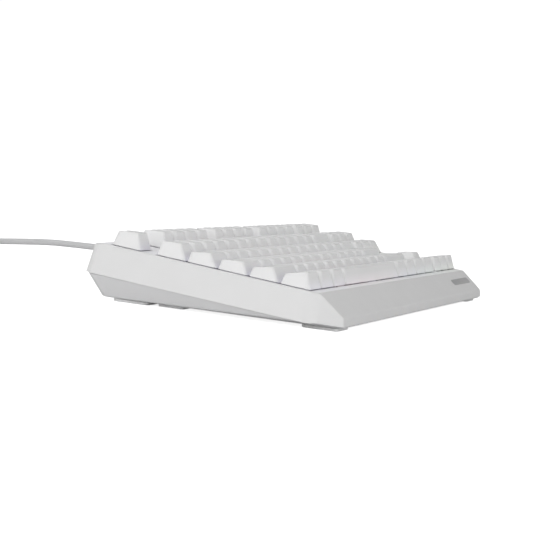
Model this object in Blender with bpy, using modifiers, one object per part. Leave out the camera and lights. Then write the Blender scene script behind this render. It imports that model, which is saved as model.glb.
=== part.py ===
"""Mechanical keyboard without a number pad: two shells, plate, board, switches, 87 keys, feet and cable.

Frame: +X to the right, +Y to the back, +Z up, origin on the desk under the middle of the keyboard's box.
Everything is in metres. Keys, switches, plate and board are drawn in the key plane, which leans back by the
typing angle: x along the rows, s up the slope from the front edge of the key field, h square to the plane.
"""

import math

import bmesh
import bpy
from mathutils import Matrix, Vector

MM = 0.001

# Driving dimensions
UNIT = 19.05 * MM  # key pitch
FIELD_WIDTH = 18.25 * UNIT
TYPING_ANGLE = math.radians(5.35)
FIELD_FRONT_Y = -57.3 * MM  # front edge of the key field
RIM_HEIGHT = 21.2 * MM  # rim over the desk at that edge
GAP = 0.3 * MM  # clearance between pieces that touch

HALF_WIDTH = 181.0 * MM  # widest, at the parting line
HALF_DEPTH = 78.5 * MM
RIM_HALF_WIDTH = 176.0 * MM
UNDERSIDE = 2.0 * MM  # the shell's underside over the desk
WALL = 2.2 * MM
DECK_THICKNESS = 6.4 * MM
PARTING_HEIGHT = 9.54 * MM  # parting plane over the desk at Y = 0
PARTING_SLOPE = 0.0821
DECK_FRONT = 6.0 * MM  # deck in front of the key field
LIP_TOP = 8.3 * MM

PLATE_TOP = -6.7 * MM  # heights h in the key plane
PLATE_THICKNESS = 1.5 * MM
BOARD_TOP = -11.7 * MM
BOARD_THICKNESS = 1.6 * MM
SWITCH_HOLE = 14.0 * MM

KEY_BASE = 0.3 * MM
KEY_MARGIN = 0.475 * MM
KEY_SIDE_INSET = 2.9 * MM
KEY_WALL = 1.2 * MM
RIM_TRIM = 0.1 * MM  # cut off the caps' walls, which leaves a flat rim
STEM = 5.2 * MM
STEM_BOTTOM = -1.1 * MM
BRIDGE = 3.0 * MM

STABILIZER_SPACING = 100.0 * MM
STABILIZER_RADIUS = 0.7 * MM
STABILIZER_S = 0.95 * MM
STABILIZER_H = -5.6 * MM
STABILIZER_RISE = 2.0 * MM  # the arms' tips over the wire's axis at rest

PAD_HEIGHT = 1.7 * MM
FOOT_INNER_X = 147.9 * MM
FOOT_OUTER_X = 169.1 * MM
FOOT_LENGTH = 15.5 * MM
FOOT_PIVOT_Y = 34.5 * MM
FOOT_PIVOT_Z = 3.7 * MM
FOOT_TOP = 1.9 * MM
FOOT_BOTTOM = -3.2 * MM

SCREWS = [
    (-135.0 * MM, -66.3 * MM),
    (0.0, -66.3 * MM),
    (135.0 * MM, -66.3 * MM),
    (-120.0 * MM, 43.2 * MM),
    (0.0, 43.2 * MM),
    (120.0 * MM, 43.2 * MM),
]
SCREW_RADIUS = 1.2 * MM
SCREW_HEAD_RADIUS = 2.4 * MM
SCREW_BOTTOM = 2.3 * MM
SCREW_HEAD_TOP = 3.9 * MM
SCREW_TOP = 13.0 * MM
LOWER_BOSS_TOP = 6.2 * MM

CABLE_DIAMETER = 4.5 * MM
CABLE_EXIT_Z = 16.2 * MM
RELIEF_TIP_Y = 102.7 * MM
# The cable's own route, from the strain relief down to the desk
CABLE_ROUTE = [
    (0.0, 0.1030, 0.0162),
    (0.0003, 0.1130, 0.0162),
    (0.0030, 0.1260, 0.0160),
    (0.0090, 0.1405, 0.0156),
    (0.0172, 0.1560, 0.0151),
    (0.0280, 0.1743, 0.0142),
    (0.0345, 0.1885, 0.0135),
    (0.0420, 0.2061, 0.0125),
    (0.0500, 0.2240, 0.0108),
    (0.0590, 0.2436, 0.0086),
    (0.0672, 0.2630, 0.0063),
    (0.0728, 0.2790, 0.0047),
    (0.0761, 0.2900, 0.0034),
    (0.0763, 0.2922, 0.0032),
]
COIL_CENTRE = (0.0410, 0.3107)
COIL_RADIUS = 26.3 * MM
COIL_BASE = 0.9 * MM  # the tie passes under the turns
LAYER_RISE = 3.9 * MM
TAIL_LENGTH = 36.0 * MM
PLUG_CENTRE_Z = 4.5 * MM

# Key rows: start in units from the front, then the heights of the cap's top edge at the back and the front,
# and how far the top's front and back edges lie inside the cell
ROWS = {
    "function": (5.5, 8.8 * MM, 10.0 * MM, 4.2 * MM, 1.9 * MM),
    "number": (4.0, 8.5 * MM, 9.7 * MM, 5.7 * MM, 0.9 * MM),
    "upper": (3.0, 6.3 * MM, 8.0 * MM, 6.2 * MM, 0.9 * MM),
    "home": (2.0, 5.8 * MM, 7.5 * MM, 5.1 * MM, 1.0 * MM),
    "lower": (1.0, 5.7 * MM, 8.2 * MM, 5.7 * MM, 1.1 * MM),
    "bottom": (0.0, 6.2 * MM, 9.8 * MM, 4.3 * MM, 1.6 * MM),
}

# Key nodes: name, row, left edge and width in units, number of equal keys side by side
KEYS = [
    ("key_escape", "function", 0.0, 1.0, 1),
    ("keys_function_1_to_4", "function", 2.0, 1.0, 4),
    ("keys_function_5_to_8", "function", 6.5, 1.0, 4),
    ("keys_function_9_to_12", "function", 11.0, 1.0, 4),
    ("key_print_screen", "function", 15.25, 1.0, 1),
    ("key_scroll_lock", "function", 16.25, 1.0, 1),
    ("key_pause", "function", 17.25, 1.0, 1),
    ("keys_number_row", "number", 0.0, 1.0, 13),
    ("key_backspace", "number", 13.0, 2.0, 1),
    ("key_insert", "number", 15.25, 1.0, 1),
    ("key_home", "number", 16.25, 1.0, 1),
    ("key_page_up", "number", 17.25, 1.0, 1),
    ("key_tab", "upper", 0.0, 1.5, 1),
    ("keys_upper_letter_row", "upper", 1.5, 1.0, 12),
    ("key_backslash", "upper", 13.5, 1.5, 1),
    ("key_delete", "upper", 15.25, 1.0, 1),
    ("key_end", "upper", 16.25, 1.0, 1),
    ("key_page_down", "upper", 17.25, 1.0, 1),
    ("key_caps_lock", "home", 0.0, 1.75, 1),
    ("keys_home_letter_row", "home", 1.75, 1.0, 11),
    ("key_enter", "home", 12.75, 2.25, 1),
    ("key_shift_left", "lower", 0.0, 2.25, 1),
    ("keys_lower_letter_row", "lower", 2.25, 1.0, 10),
    ("key_shift_right", "lower", 12.25, 2.75, 1),
    ("key_arrow_up", "lower", 16.25, 1.0, 1),
    ("key_control_left", "bottom", 0.0, 1.25, 1),
    ("key_system", "bottom", 1.25, 1.25, 1),
    ("key_alt_left", "bottom", 2.5, 1.25, 1),
    ("key_space", "bottom", 3.75, 6.25, 1),
    ("key_alt_right", "bottom", 10.0, 1.25, 1),
    ("key_function_shift", "bottom", 11.25, 1.25, 1),
    ("key_menu", "bottom", 12.5, 1.25, 1),
    ("key_control_right", "bottom", 13.75, 1.25, 1),
    ("key_arrow_left", "bottom", 15.25, 1.0, 1),
    ("key_arrow_down", "bottom", 16.25, 1.0, 1),
    ("key_arrow_right", "bottom", 17.25, 1.0, 1),
]

# Openings in the upper shell's deck, in units: left, right, front, back
DECK_OPENINGS = [
    (0.0, 1.0, 5.5, 6.5),
    (2.0, 6.0, 5.5, 6.5),
    (6.5, 10.5, 5.5, 6.5),
    (11.0, 15.0, 5.5, 6.5),
    (15.25, 18.25, 5.5, 6.5),
    (0.0, 15.0, 0.0, 5.0),
    (15.25, 18.25, 3.0, 5.0),
    (16.25, 17.25, 0.5, 2.0),
    (15.25, 18.25, 0.0, 1.0),
]

KEY_PLANE = Matrix.Translation((0, FIELD_FRONT_Y, RIM_HEIGHT)) @ Matrix.Rotation(TYPING_ANGLE, 4, "X")


# Helpers

def clear_scene():
    for obj in list(bpy.data.objects):
        bpy.data.objects.remove(obj, do_unlink=True)


def make_collection(name):
    collection = bpy.data.collections.new(name)
    bpy.context.scene.collection.children.link(collection)
    return collection


def make_material(name, color, roughness, metallic=0.0):
    material = bpy.data.materials.new(name)
    material.use_nodes = True
    shader = material.node_tree.nodes["Principled BSDF"]
    shader.inputs["Base Color"].default_value = (*color, 1.0)
    shader.inputs["Roughness"].default_value = roughness
    shader.inputs["Metallic"].default_value = metallic
    return material


def add_object(name, bm, material=None, matrix=Matrix.Identity(4), smooth=False):
    """A mesh object; without a material it is a cutter."""
    bmesh.ops.recalc_face_normals(bm, faces=bm.faces)
    mesh = bpy.data.meshes.new(name)
    bm.to_mesh(mesh)
    bm.free()
    if smooth:
        mesh.shade_smooth()
        mesh.set_sharp_from_angle(angle=math.radians(40))
    obj = bpy.data.objects.new(name, mesh)
    obj.matrix_world = matrix
    if material:
        mesh.materials.append(material)
        PARTS.objects.link(obj)
    else:
        CUTTERS.objects.link(obj)
        obj.hide_render = True
        obj.display_type = "WIRE"
    return obj


def boolean(obj, operation, tool, overlapping=False):
    """Cuts or joins a tool. Its bodies may overlap each other or the object's when overlapping is set."""
    modifier = obj.modifiers.new(tool.name, "BOOLEAN")
    modifier.operation = operation
    modifier.solver = "EXACT"
    modifier.use_self = overlapping
    modifier.object = tool


def key_plane_point(x, s, h=0.0):
    return KEY_PLANE @ Vector((x, s, h))


def field_x(units):
    return units * UNIT - FIELD_WIDTH / 2


def parting_point(x, y, drop=0.0):
    return Vector((x, y, PARTING_HEIGHT + PARTING_SLOPE * y - drop))


def both_sides(points):
    """The points and their mirror images across X = 0."""
    return [Vector(p) for p in points] + [Vector((-p[0], p[1], p[2])) for p in points]


def hull(points, bm=None):
    bm = bm or bmesh.new()
    verts = [bm.verts.new(p) for p in points]
    result = bmesh.ops.convex_hull(bm, input=verts)
    loose = [v for v in result["geom_interior"] if isinstance(v, bmesh.types.BMVert)]
    bmesh.ops.delete(bm, geom=loose, context="VERTS")
    return bm


def box(bm, low, high):
    low = Vector(low)
    high = Vector(high)
    size = high - low
    matrix = Matrix.Translation((low + high) / 2) @ Matrix.Diagonal((*size, 1.0))
    bmesh.ops.create_cube(bm, size=1.0, matrix=matrix)


def cylinder(bm, start, end, radius, end_radius=None, segments=16):
    start = Vector(start)
    end = Vector(end)
    axis = end - start
    matrix = Matrix.Translation((start + end) / 2) @ axis.to_track_quat("Z", "Y").to_matrix().to_4x4()
    bmesh.ops.create_cone(
        bm,
        cap_ends=True,
        segments=segments,
        radius1=radius,
        radius2=radius if end_radius is None else end_radius,
        depth=axis.length,
        matrix=matrix,
    )


def turn(profile, axis, steps, start_angle=0.0, closed=False):
    """A profile of (radius, height) points spun round an axis: its ends lie on the axis, or it is a loop."""
    bm = bmesh.new()
    verts = [bm.verts.new((r, 0.0, z)) for r, z in profile]
    edges = [bm.edges.new(pair) for pair in zip(verts, verts[1:])]
    if closed:
        edges.append(bm.edges.new((verts[-1], verts[0])))
    bmesh.ops.rotate(bm, verts=verts, matrix=Matrix.Rotation(start_angle, 3, "Z"))
    bmesh.ops.spin(
        bm,
        geom=verts + edges,
        axis=(0, 0, 1),
        cent=(0, 0, 0),
        angle=math.tau,
        steps=steps,
        use_merge=True,
    )
    bmesh.ops.remove_doubles(bm, verts=bm.verts, dist=0.00002)
    if axis == "Y":
        bmesh.ops.rotate(bm, verts=bm.verts, matrix=Matrix.Rotation(math.radians(-90), 3, "X"))
    return bm


def smooth_route(route, step):
    """Points about a step apart on a Catmull-Rom curve through the route."""
    points = [Vector(p) for p in route]
    padded = [2 * points[0] - points[1], *points, 2 * points[-1] - points[-2]]
    result = []
    for a, b, c, d in zip(padded, padded[1:], padded[2:], padded[3:]):
        pieces = max(1, round((c - b).length / step))
        for i in range(pieces):
            t = i / pieces
            curved = (2 * a - 5 * b + 4 * c - d) * t**2 + (3 * b - a - 3 * c + d) * t**3
            result.append(0.5 * (2 * b + (c - a) * t + curved))
    return result + [points[-1]]


def tube(name, points, radius, material, resolution=2):
    curve = bpy.data.curves.new(name, "CURVE")
    curve.dimensions = "3D"
    curve.bevel_depth = radius
    curve.bevel_resolution = resolution
    curve.use_fill_caps = True
    spline = curve.splines.new("POLY")
    spline.points.add(len(points) - 1)
    for target, point in zip(spline.points, points):
        target.co = (*point, 1.0)
    curve.materials.append(material)
    obj = bpy.data.objects.new(name, curve)
    PARTS.objects.link(obj)
    return obj


# Shells

def make_top_case(material):
    """Flanks, sloping front and thick deck, open underneath, with the key openings."""
    outer = hull(
        both_sides(
            [
                key_plane_point(174.5 * MM, -DECK_FRONT),
                key_plane_point(RIM_HALF_WIDTH, 5.0 * MM),
                key_plane_point(RIM_HALF_WIDTH, 124.5 * MM),
                (RIM_HALF_WIDTH, 72.8 * MM, 32.7 * MM),
                (173.8 * MM, 75.8 * MM, 32.6 * MM),
                (172.2 * MM, -78.1 * MM, LIP_TOP),
                parting_point(172.4 * MM, -HALF_DEPTH),
                parting_point(HALF_WIDTH, -63.6 * MM),
                parting_point(HALF_WIDTH, 74.4 * MM),
                parting_point(177.0 * MM, HALF_DEPTH),
            ]
        )
    )
    case = add_object("top_case", outer, material)

    ceiling = -DECK_THICKNESS
    cavity = hull(
        both_sides(
            [
                key_plane_point(175.2 * MM, -9.8 * MM, ceiling),
                key_plane_point(175.4 * MM, 125.5 * MM, ceiling),
                key_plane_point(170.5 * MM, 130.2 * MM, ceiling),
                (169.5 * MM, -75.6 * MM, 7.2 * MM),
                parting_point(170.0 * MM, -76.0 * MM, 4 * MM),
                parting_point(178.6 * MM, -62.5 * MM, 4 * MM),
                parting_point(178.6 * MM, 72.6 * MM, 4 * MM),
                parting_point(174.9 * MM, 76.1 * MM, 4 * MM),
            ]
        )
    )
    boolean(case, "DIFFERENCE", add_object("top_case_cavity", cavity))

    bosses = bmesh.new()
    for x, y in SCREWS:
        deck = key_plane_point(x, y - FIELD_FRONT_Y, ceiling).z
        cylinder(bosses, (x, y, LOWER_BOSS_TOP + GAP), (x, y, deck + 1.2 * MM), 2.6 * MM, segments=12)
    boolean(case, "UNION", add_object("top_case_bosses", bosses))

    openings = bmesh.new()
    grow = 0.2 * MM
    for left, right, front, back in DECK_OPENINGS:
        box(
            openings,
            (field_x(left) - grow, front * UNIT - grow, ceiling - 2 * MM),
            (field_x(right) + grow, back * UNIT + grow, 15 * MM),
        )
    boolean(case, "DIFFERENCE", add_object("deck_openings", openings, matrix=KEY_PLANE), overlapping=True)

    holes = bmesh.new()
    for x, y in SCREWS:
        low = (x, y, LOWER_BOSS_TOP - 2 * MM)
        cylinder(holes, low, (x, y, SCREW_TOP + GAP), SCREW_RADIUS + GAP, segments=12)
    cylinder(holes, (0, 68 * MM, CABLE_EXIT_Z), (0, 82 * MM, CABLE_EXIT_Z), 4.2 * MM, segments=20)
    boolean(case, "DIFFERENCE", add_object("top_case_holes", holes))


def make_bottom_case(material):
    """Tray with board ribs, screw bosses, foot pockets and the lower half of the cable outlet."""
    outer = hull(
        both_sides(
            [
                parting_point(172.0 * MM, -77.9 * MM, GAP),
                parting_point(180.2 * MM, -63.4 * MM, GAP),
                parting_point(180.2 * MM, 73.6 * MM, GAP),
                parting_point(176.2 * MM, 77.4 * MM, GAP),
                (169.8 * MM, -77.2 * MM, UNDERSIDE),
                (171.8 * MM, -65.0 * MM, UNDERSIDE),
                (171.8 * MM, 67.4 * MM, UNDERSIDE),
                (168.6 * MM, 70.2 * MM, UNDERSIDE),
            ]
        )
    )
    case = add_object("bottom_case", outer, material)

    floor = UNDERSIDE + WALL
    cavity = hull(
        both_sides(
            [
                (170.6 * MM, -55.0 * MM, floor),
                (170.6 * MM, 63.5 * MM, floor),
                (165.2 * MM, 68.8 * MM, floor),
                parting_point(178.0 * MM, -55.0 * MM, -6 * MM),
                parting_point(178.6 * MM, 71.0 * MM, -6 * MM),
                parting_point(173.2 * MM, 76.4 * MM, -6 * MM),
            ]
        )
    )
    boolean(case, "DIFFERENCE", add_object("bottom_case_cavity", cavity))

    added = bmesh.new()
    rib_top = BOARD_TOP - BOARD_THICKNESS - GAP
    for x in (-138 * MM, -60 * MM, 60 * MM, 138 * MM):
        hull(
            [
                corner
                for side in (x - 0.9 * MM, x + 0.9 * MM)
                for corner in (
                    key_plane_point(side, 6 * MM, rib_top),
                    key_plane_point(side, 118 * MM, rib_top),
                    Vector((side, -52 * MM, 3 * MM)),
                    Vector((side, 60 * MM, 3 * MM)),
                )
            ],
            added,
        )
    for x, y in SCREWS:
        cylinder(added, (x, y, 3 * MM), (x, y, LOWER_BOSS_TOP), 4.2 * MM, segments=12)
    for side in (-1, 1):
        low, high = sorted((side * 145.2 * MM, side * 171.6 * MM))
        box(added, (low, 14.7 * MM, 3 * MM), (high, 40.5 * MM, 8.1 * MM))
    boolean(case, "UNION", add_object("bottom_case_ribs", added))

    holes = bmesh.new()
    for side in (-1, 1):
        low, high = sorted((side * (FOOT_INNER_X - 0.5 * MM), side * (FOOT_OUTER_X + 0.5 * MM)))
        box(holes, (low, 16.7 * MM, 0), (high, 38.5 * MM, 6.1 * MM))
    for x, y in SCREWS:
        cylinder(holes, (x, y, 0), (x, y, SCREW_HEAD_TOP + GAP), SCREW_HEAD_RADIUS + 0.4 * MM)
    boolean(case, "DIFFERENCE", add_object("pockets", holes))

    bores = bmesh.new()
    for side in (-1, 1):
        ends = (side * (FOOT_INNER_X - 3.2 * MM), side * (FOOT_OUTER_X + 2.2 * MM))
        cylinder(
            bores,
            (ends[0], FOOT_PIVOT_Y, FOOT_PIVOT_Z),
            (ends[1], FOOT_PIVOT_Y, FOOT_PIVOT_Z),
            1.6 * MM,
            segments=16,
        )
    for x, y in SCREWS:
        cylinder(bores, (x, y, 3 * MM), (x, y, LOWER_BOSS_TOP + 1 * MM), SCREW_RADIUS + GAP, segments=12)
    cylinder(bores, (0, 64 * MM, CABLE_EXIT_Z), (0, 82 * MM, CABLE_EXIT_Z), 4.2 * MM, segments=20)
    boolean(case, "DIFFERENCE", add_object("bottom_case_bores", bores))


def make_screws(material):
    for number, (x, y) in enumerate(SCREWS, start=1):
        profile = [
            (0, SCREW_BOTTOM),
            (SCREW_HEAD_RADIUS, SCREW_BOTTOM),
            (SCREW_HEAD_RADIUS, SCREW_HEAD_TOP),
            (SCREW_RADIUS, SCREW_HEAD_TOP),
            (SCREW_RADIUS, SCREW_TOP - 1.0 * MM),
            (0, SCREW_TOP),
        ]
        screw = turn(profile, "Z", 12)
        add_object(f"case_screw_{number}", screw, material, Matrix.Translation((x, y, 0)), smooth=True)


# Pads and tilt feet

def make_pads(material):
    for side, label in ((-1, "left"), (1, "right")):
        low, high = sorted((side * 148 * MM, side * 170 * MM))
        for name, front, back in (("front_pad", -74.7 * MM, -52.6 * MM), ("rear_pad", 40.9 * MM, 63.1 * MM)):
            pad = bmesh.new()
            box(pad, (low, front, 0), (high, back, PAD_HEIGHT))
            corners = [e for e in pad.edges if abs(e.verts[0].co.z - e.verts[1].co.z) > MM]
            bmesh.ops.bevel(pad, geom=corners, offset=3 * MM, segments=2, profile=0.5, affect="EDGES")
            add_object(f"{name}_{label}", pad, material)


def make_tilt_feet(material):
    """Short legs on pins across their pockets; each origin is on its hinge axis."""
    for side, label in ((-1, "left"), (1, "right")):
        centre_x = side * (FOOT_INNER_X + FOOT_OUTER_X) / 2
        half = (FOOT_OUTER_X - FOOT_INNER_X) / 2
        leg = hull(
            [
                (x, y, z)
                for x in (-half, half)
                for y, z in (
                    (-FOOT_LENGTH, FOOT_BOTTOM),
                    (-FOOT_LENGTH, FOOT_TOP - 1.2 * MM),
                    (-FOOT_LENGTH + 1.5 * MM, FOOT_TOP),
                    (0, FOOT_TOP),
                    (0, FOOT_BOTTOM),
                )
            ]
        )
        foot = add_object(
            f"tilt_foot_{label}",
            leg,
            material,
            Matrix.Translation((centre_x, FOOT_PIVOT_Y, FOOT_PIVOT_Z)),
        )
        barrel = bmesh.new()
        cylinder(barrel, (-half, 0, 0), (half, 0, 0), 1.7 * MM)
        boolean(foot, "UNION", add_object(f"{foot.name}_barrel", barrel, matrix=foot.matrix_world))
        pins = bmesh.new()
        cylinder(pins, (-half - 1.9 * MM, 0, 0), (half + 1.9 * MM, 0, 0), 1.2 * MM, segments=12)
        boolean(foot, "UNION", add_object(f"{foot.name}_pins", pins, matrix=foot.matrix_world))


# Keys

def tapered_block(bm, base, top, bottom_z, top_z):
    """A block from a base rectangle (x0, x1, y0, y1) to a top one, which may slope from front to back."""
    made = bmesh.ops.create_cube(bm, size=2.0)
    for vert in made["verts"]:
        x0, x1, y0, y1 = top if vert.co.z > 0 else base
        at_back = vert.co.y > 0
        z = (top_z[1] if at_back else top_z[0]) if vert.co.z > 0 else bottom_z
        vert.co = (x1 if vert.co.x > 0 else x0, y1 if at_back else y0, z)
    return made["verts"]


def key_height(row, s):
    """Height of a cap's top over the key plane at a distance s into its cell."""
    _, back, front, front_inset, back_inset = ROWS[row]
    share = (s - front_inset) / (UNIT - back_inset - front_inset)
    return front + (back - front) * share


def stem_block(bm, row, x, size, bottom):
    """A square stem from its bottom up into the cap's top, between the top's two surfaces."""
    y0 = (UNIT - size) / 2
    y1 = (UNIT + size) / 2
    square = (x - size / 2, x + size / 2, y0, y1)
    sunk = 0.6 * MM
    tapered_block(bm, square, square, bottom, (key_height(row, y0) - sunk, key_height(row, y1) - sunk))


def make_key(name, row, left, width, count, material):
    """A cap, or a strip of equal caps side by side, as a hollow shell with square stems. Its origin is at the
    middle of its cells, in the key plane."""
    start, back_height, front_height, front_inset, back_inset = ROWS[row]
    cell = width * UNIT
    caps = bmesh.new()
    inner = bmesh.new()
    for i in range(count):
        x0 = i * cell - count * cell / 2
        x1 = x0 + cell
        base = (x0 + KEY_MARGIN, x1 - KEY_MARGIN, KEY_MARGIN, UNIT - KEY_MARGIN)
        top = (x0 + KEY_SIDE_INSET, x1 - KEY_SIDE_INSET, front_inset, UNIT - back_inset)
        tapered_block(caps, base, top, KEY_BASE - RIM_TRIM, (front_height, back_height))
        stem_block(inner, row, (x0 + x1) / 2, STEM, STEM_BOTTOM)
        if i:
            reach = KEY_MARGIN + KEY_WALL / 2
            middle = UNIT / 2
            box(
                inner,
                (x0 - reach, middle - BRIDGE / 2, KEY_BASE + 0.1 * MM),
                (x0 + reach, middle + BRIDGE / 2, KEY_BASE + 1.1 * MM),
            )
    if name == "key_space":
        stem_bottom = STABILIZER_H + STABILIZER_RISE + STABILIZER_RADIUS + 2 * GAP
        for x in (-STABILIZER_SPACING / 2, STABILIZER_SPACING / 2):
            stem_block(inner, row, x, 4 * MM, stem_bottom)
    bottoms = [f for f in caps.faces if f.calc_center_median().z < KEY_BASE]
    bmesh.ops.delete(caps, geom=bottoms, context="FACES_ONLY")

    centre = Matrix.Translation((field_x(left) + count * cell / 2, start * UNIT, 0))
    key = add_object(name, caps, material, KEY_PLANE @ centre)
    shell = key.modifiers.new("shell", "SOLIDIFY")
    shell.thickness = KEY_WALL
    shell.offset = -1.0
    shell.use_even_offset = True
    trim = bmesh.new()
    half = count * cell / 2 + MM
    box(trim, (-half, -MM, KEY_BASE - 3 * MM), (half, UNIT + MM, KEY_BASE))
    boolean(key, "DIFFERENCE", add_object(f"{name}_rim_trim", trim, matrix=key.matrix_world))
    boolean(key, "UNION", add_object(f"{name}_stems", inner, matrix=key.matrix_world))


def switch_centres():
    """The middle of every switch: x and s in the key plane."""
    for _, row, left, width, count in KEYS:
        for i in range(count):
            yield field_x(left + (i + 0.5) * width), (ROWS[row][0] + 0.5) * UNIT


def square(half_width):
    """Radius at the corners of a square of that half width."""
    return half_width * math.sqrt(2)


def make_switch_housings(material):
    """All housings: body through the plate, flange on it, tapered top with an open well for the slider. Under
    the plate each row's bodies run together into one bar, because the switches share one node."""
    bar_top = PLATE_TOP - PLATE_THICKNESS - 0.5 * MM
    bar_bottom = BOARD_TOP + GAP
    half_body = 6.7 * MM
    profile = [
        (0, -6.0 * MM),
        (square(3.1 * MM), -6.0 * MM),
        (square(3.1 * MM), -0.1 * MM),
        (square(4.2 * MM), -0.1 * MM),
        (square(7.5 * MM), PLATE_TOP + GAP),
        (square(half_body - 0.1 * MM), PLATE_TOP + GAP),
        (square(half_body - 0.1 * MM), bar_top - 1.0 * MM),
        (0, bar_top - 1.0 * MM),
    ]
    single = turn(profile, "Z", 4, math.radians(45))
    bmesh.ops.recalc_face_normals(single, faces=single.faces)
    mesh = bpy.data.meshes.new("switch")
    single.to_mesh(mesh)
    single.free()
    housings = bmesh.new()
    for x, s in switch_centres():
        before = len(housings.verts)
        housings.from_mesh(mesh)
        housings.verts.ensure_lookup_table()
        bmesh.ops.translate(housings, verts=housings.verts[before:], vec=(x, s, 0))
    bpy.data.meshes.remove(mesh)

    bars = bmesh.new()
    for row, values in ROWS.items():
        s = (values[0] + 0.5) * UNIT
        xs = [x for x, y in switch_centres() if abs(y - s) < MM]
        low = (min(xs) - half_body, s - half_body, bar_bottom)
        box(bars, low, (max(xs) + half_body, s + half_body, bar_top))
    ties = bmesh.new()
    for x in (field_x(0.55), field_x(16.75)):
        low = (x - 2 * MM, 0.5 * UNIT, bar_bottom + 0.2 * MM)
        box(ties, low, (x + 2 * MM, 6 * UNIT, bar_top - 0.2 * MM))
    joined = add_object("switch_housings", bars, material, KEY_PLANE)
    boolean(joined, "UNION", add_object("row_ties", ties, matrix=KEY_PLANE))
    boolean(joined, "UNION", add_object("switch_tops", housings, matrix=KEY_PLANE))


def boss_clearance(bm, low, high):
    """Round clearance in the key plane for the upper shell's rear screw bosses."""
    for x, y in SCREWS[3:]:
        s = (y - FIELD_FRONT_Y) / math.cos(TYPING_ANGLE) + (low + high) / 2 * math.tan(TYPING_ANGLE)
        cylinder(bm, (x, s, low - MM), (x, s, high + MM), 3.4 * MM, segments=12)


def make_switch_plate(material):
    plate = bmesh.new()
    bottom = PLATE_TOP - PLATE_THICKNESS
    box(plate, (-175.0 * MM, -1.0 * MM, bottom), (175.0 * MM, 124.3 * MM, PLATE_TOP))
    plate = add_object("switch_plate", plate, material, KEY_PLANE)
    holes = bmesh.new()
    half = SWITCH_HOLE / 2
    for x, s in switch_centres():
        box(holes, (x - half, s - half, bottom - MM), (x + half, s + half, PLATE_TOP + MM))
    space_x = field_x(3.75 + 6.25 / 2)
    for side in (-1, 1):
        x = space_x + side * STABILIZER_SPACING / 2
        box(
            holes,
            (x - 1.2 * MM, STABILIZER_S + 0.9 * MM, bottom - MM),
            (x + 1.2 * MM, UNIT / 2 + 1.3 * MM, PLATE_TOP + MM),
        )
    boss_clearance(holes, bottom, PLATE_TOP)
    boolean(plate, "DIFFERENCE", add_object("plate_holes", holes, matrix=KEY_PLANE))


def make_circuit_board(material):
    """The board, with the cable's socket under its back edge."""
    bottom = BOARD_TOP - BOARD_THICKNESS
    board = bmesh.new()
    box(board, (-172.0 * MM, 1.0 * MM, bottom), (172.0 * MM, 121.0 * MM, BOARD_TOP))
    board = add_object("circuit_board", board, material, KEY_PLANE)
    socket = bmesh.new()
    box(socket, (16 * MM, 108 * MM, bottom - 5 * MM), (28 * MM, 116 * MM, bottom + 0.8 * MM))
    boolean(board, "UNION", add_object("cable_socket", socket, matrix=KEY_PLANE))
    holes = bmesh.new()
    boss_clearance(holes, bottom, BOARD_TOP)
    boolean(board, "DIFFERENCE", add_object("board_holes", holes, matrix=KEY_PLANE))


def make_stabilizer(material):
    """Bent wire: a long stretch along the space bar and two arms under its outer stems. It turns on the long
    stretch, and its origin is there."""
    half = STABILIZER_SPACING / 2
    reach = UNIT / 2 - STABILIZER_S
    arm_y = math.sqrt(reach**2 - STABILIZER_RISE**2)
    bend = 1.6 * MM
    points = [
        Vector((-half, arm_y, STABILIZER_RISE)),
        Vector((-half, bend, bend * STABILIZER_RISE / arm_y)),
        Vector((-half + bend, 0, 0)),
        Vector((half - bend, 0, 0)),
        Vector((half, bend, bend * STABILIZER_RISE / arm_y)),
        Vector((half, arm_y, STABILIZER_RISE)),
    ]
    wire = tube("space_bar_stabilizer", points, STABILIZER_RADIUS, material)
    wire.matrix_world = KEY_PLANE @ Matrix.Translation(
        (field_x(3.75 + 6.25 / 2), STABILIZER_S, STABILIZER_H)
    )


# Cable

def make_strain_relief(material):
    """Grommet through the back wall and a tapered sleeve."""
    start = 69.5 * MM
    profile = [
        (0, 0),
        (5.2 * MM, 0),
        (5.2 * MM, 1.8 * MM),
        (3.9 * MM, 1.8 * MM),
        (3.9 * MM, 9.3 * MM),
        (5.0 * MM, 9.3 * MM),
        (5.0 * MM, 11.0 * MM),
        (4.1 * MM, 12.0 * MM),
        (2.9 * MM, RELIEF_TIP_Y - start),
        (0, RELIEF_TIP_Y - start),
    ]
    relief = turn(profile, "Y", 20)
    place = Matrix.Translation((0, start, CABLE_EXIT_Z))
    add_object("cable_strain_relief", relief, material, place, smooth=True)


def make_coil(material):
    """The outer shape of five turns with four more lying in the grooves between them, and the cable's two ends
    where they leave the ring."""
    radius = CABLE_DIAMETER / 2
    lower = COIL_BASE + CABLE_DIAMETER
    top = lower + LAYER_RISE
    inner = COIL_RADIUS - 5 * radius
    outer = COIL_RADIUS + 5 * radius
    profile = [
        (inner, COIL_BASE),
        (outer, COIL_BASE),
        (outer, lower),
        (outer - radius, top),
        (inner + radius, top),
        (inner, lower),
    ]
    ring = turn(profile, "Z", 40, closed=True)
    coil = add_object("usb_cable_coil", ring, material, Matrix.Translation((*COIL_CENTRE, 0)), smooth=True)
    cx, cy = COIL_CENTRE
    ends = bmesh.new()
    east = cx + outer - radius
    bottom = COIL_BASE + radius
    cylinder(ends, (east, cy, bottom), (east, cy - 18 * MM, bottom), radius, segments=12)
    north = cy + outer - 2 * radius
    cylinder(
        ends,
        (cx, north, top - radius),
        (cx - TAIL_LENGTH, north, PLUG_CENTRE_Z),
        radius,
        segments=12,
    )
    boolean(coil, "UNION", add_object("coil_ends", ends))


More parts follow.
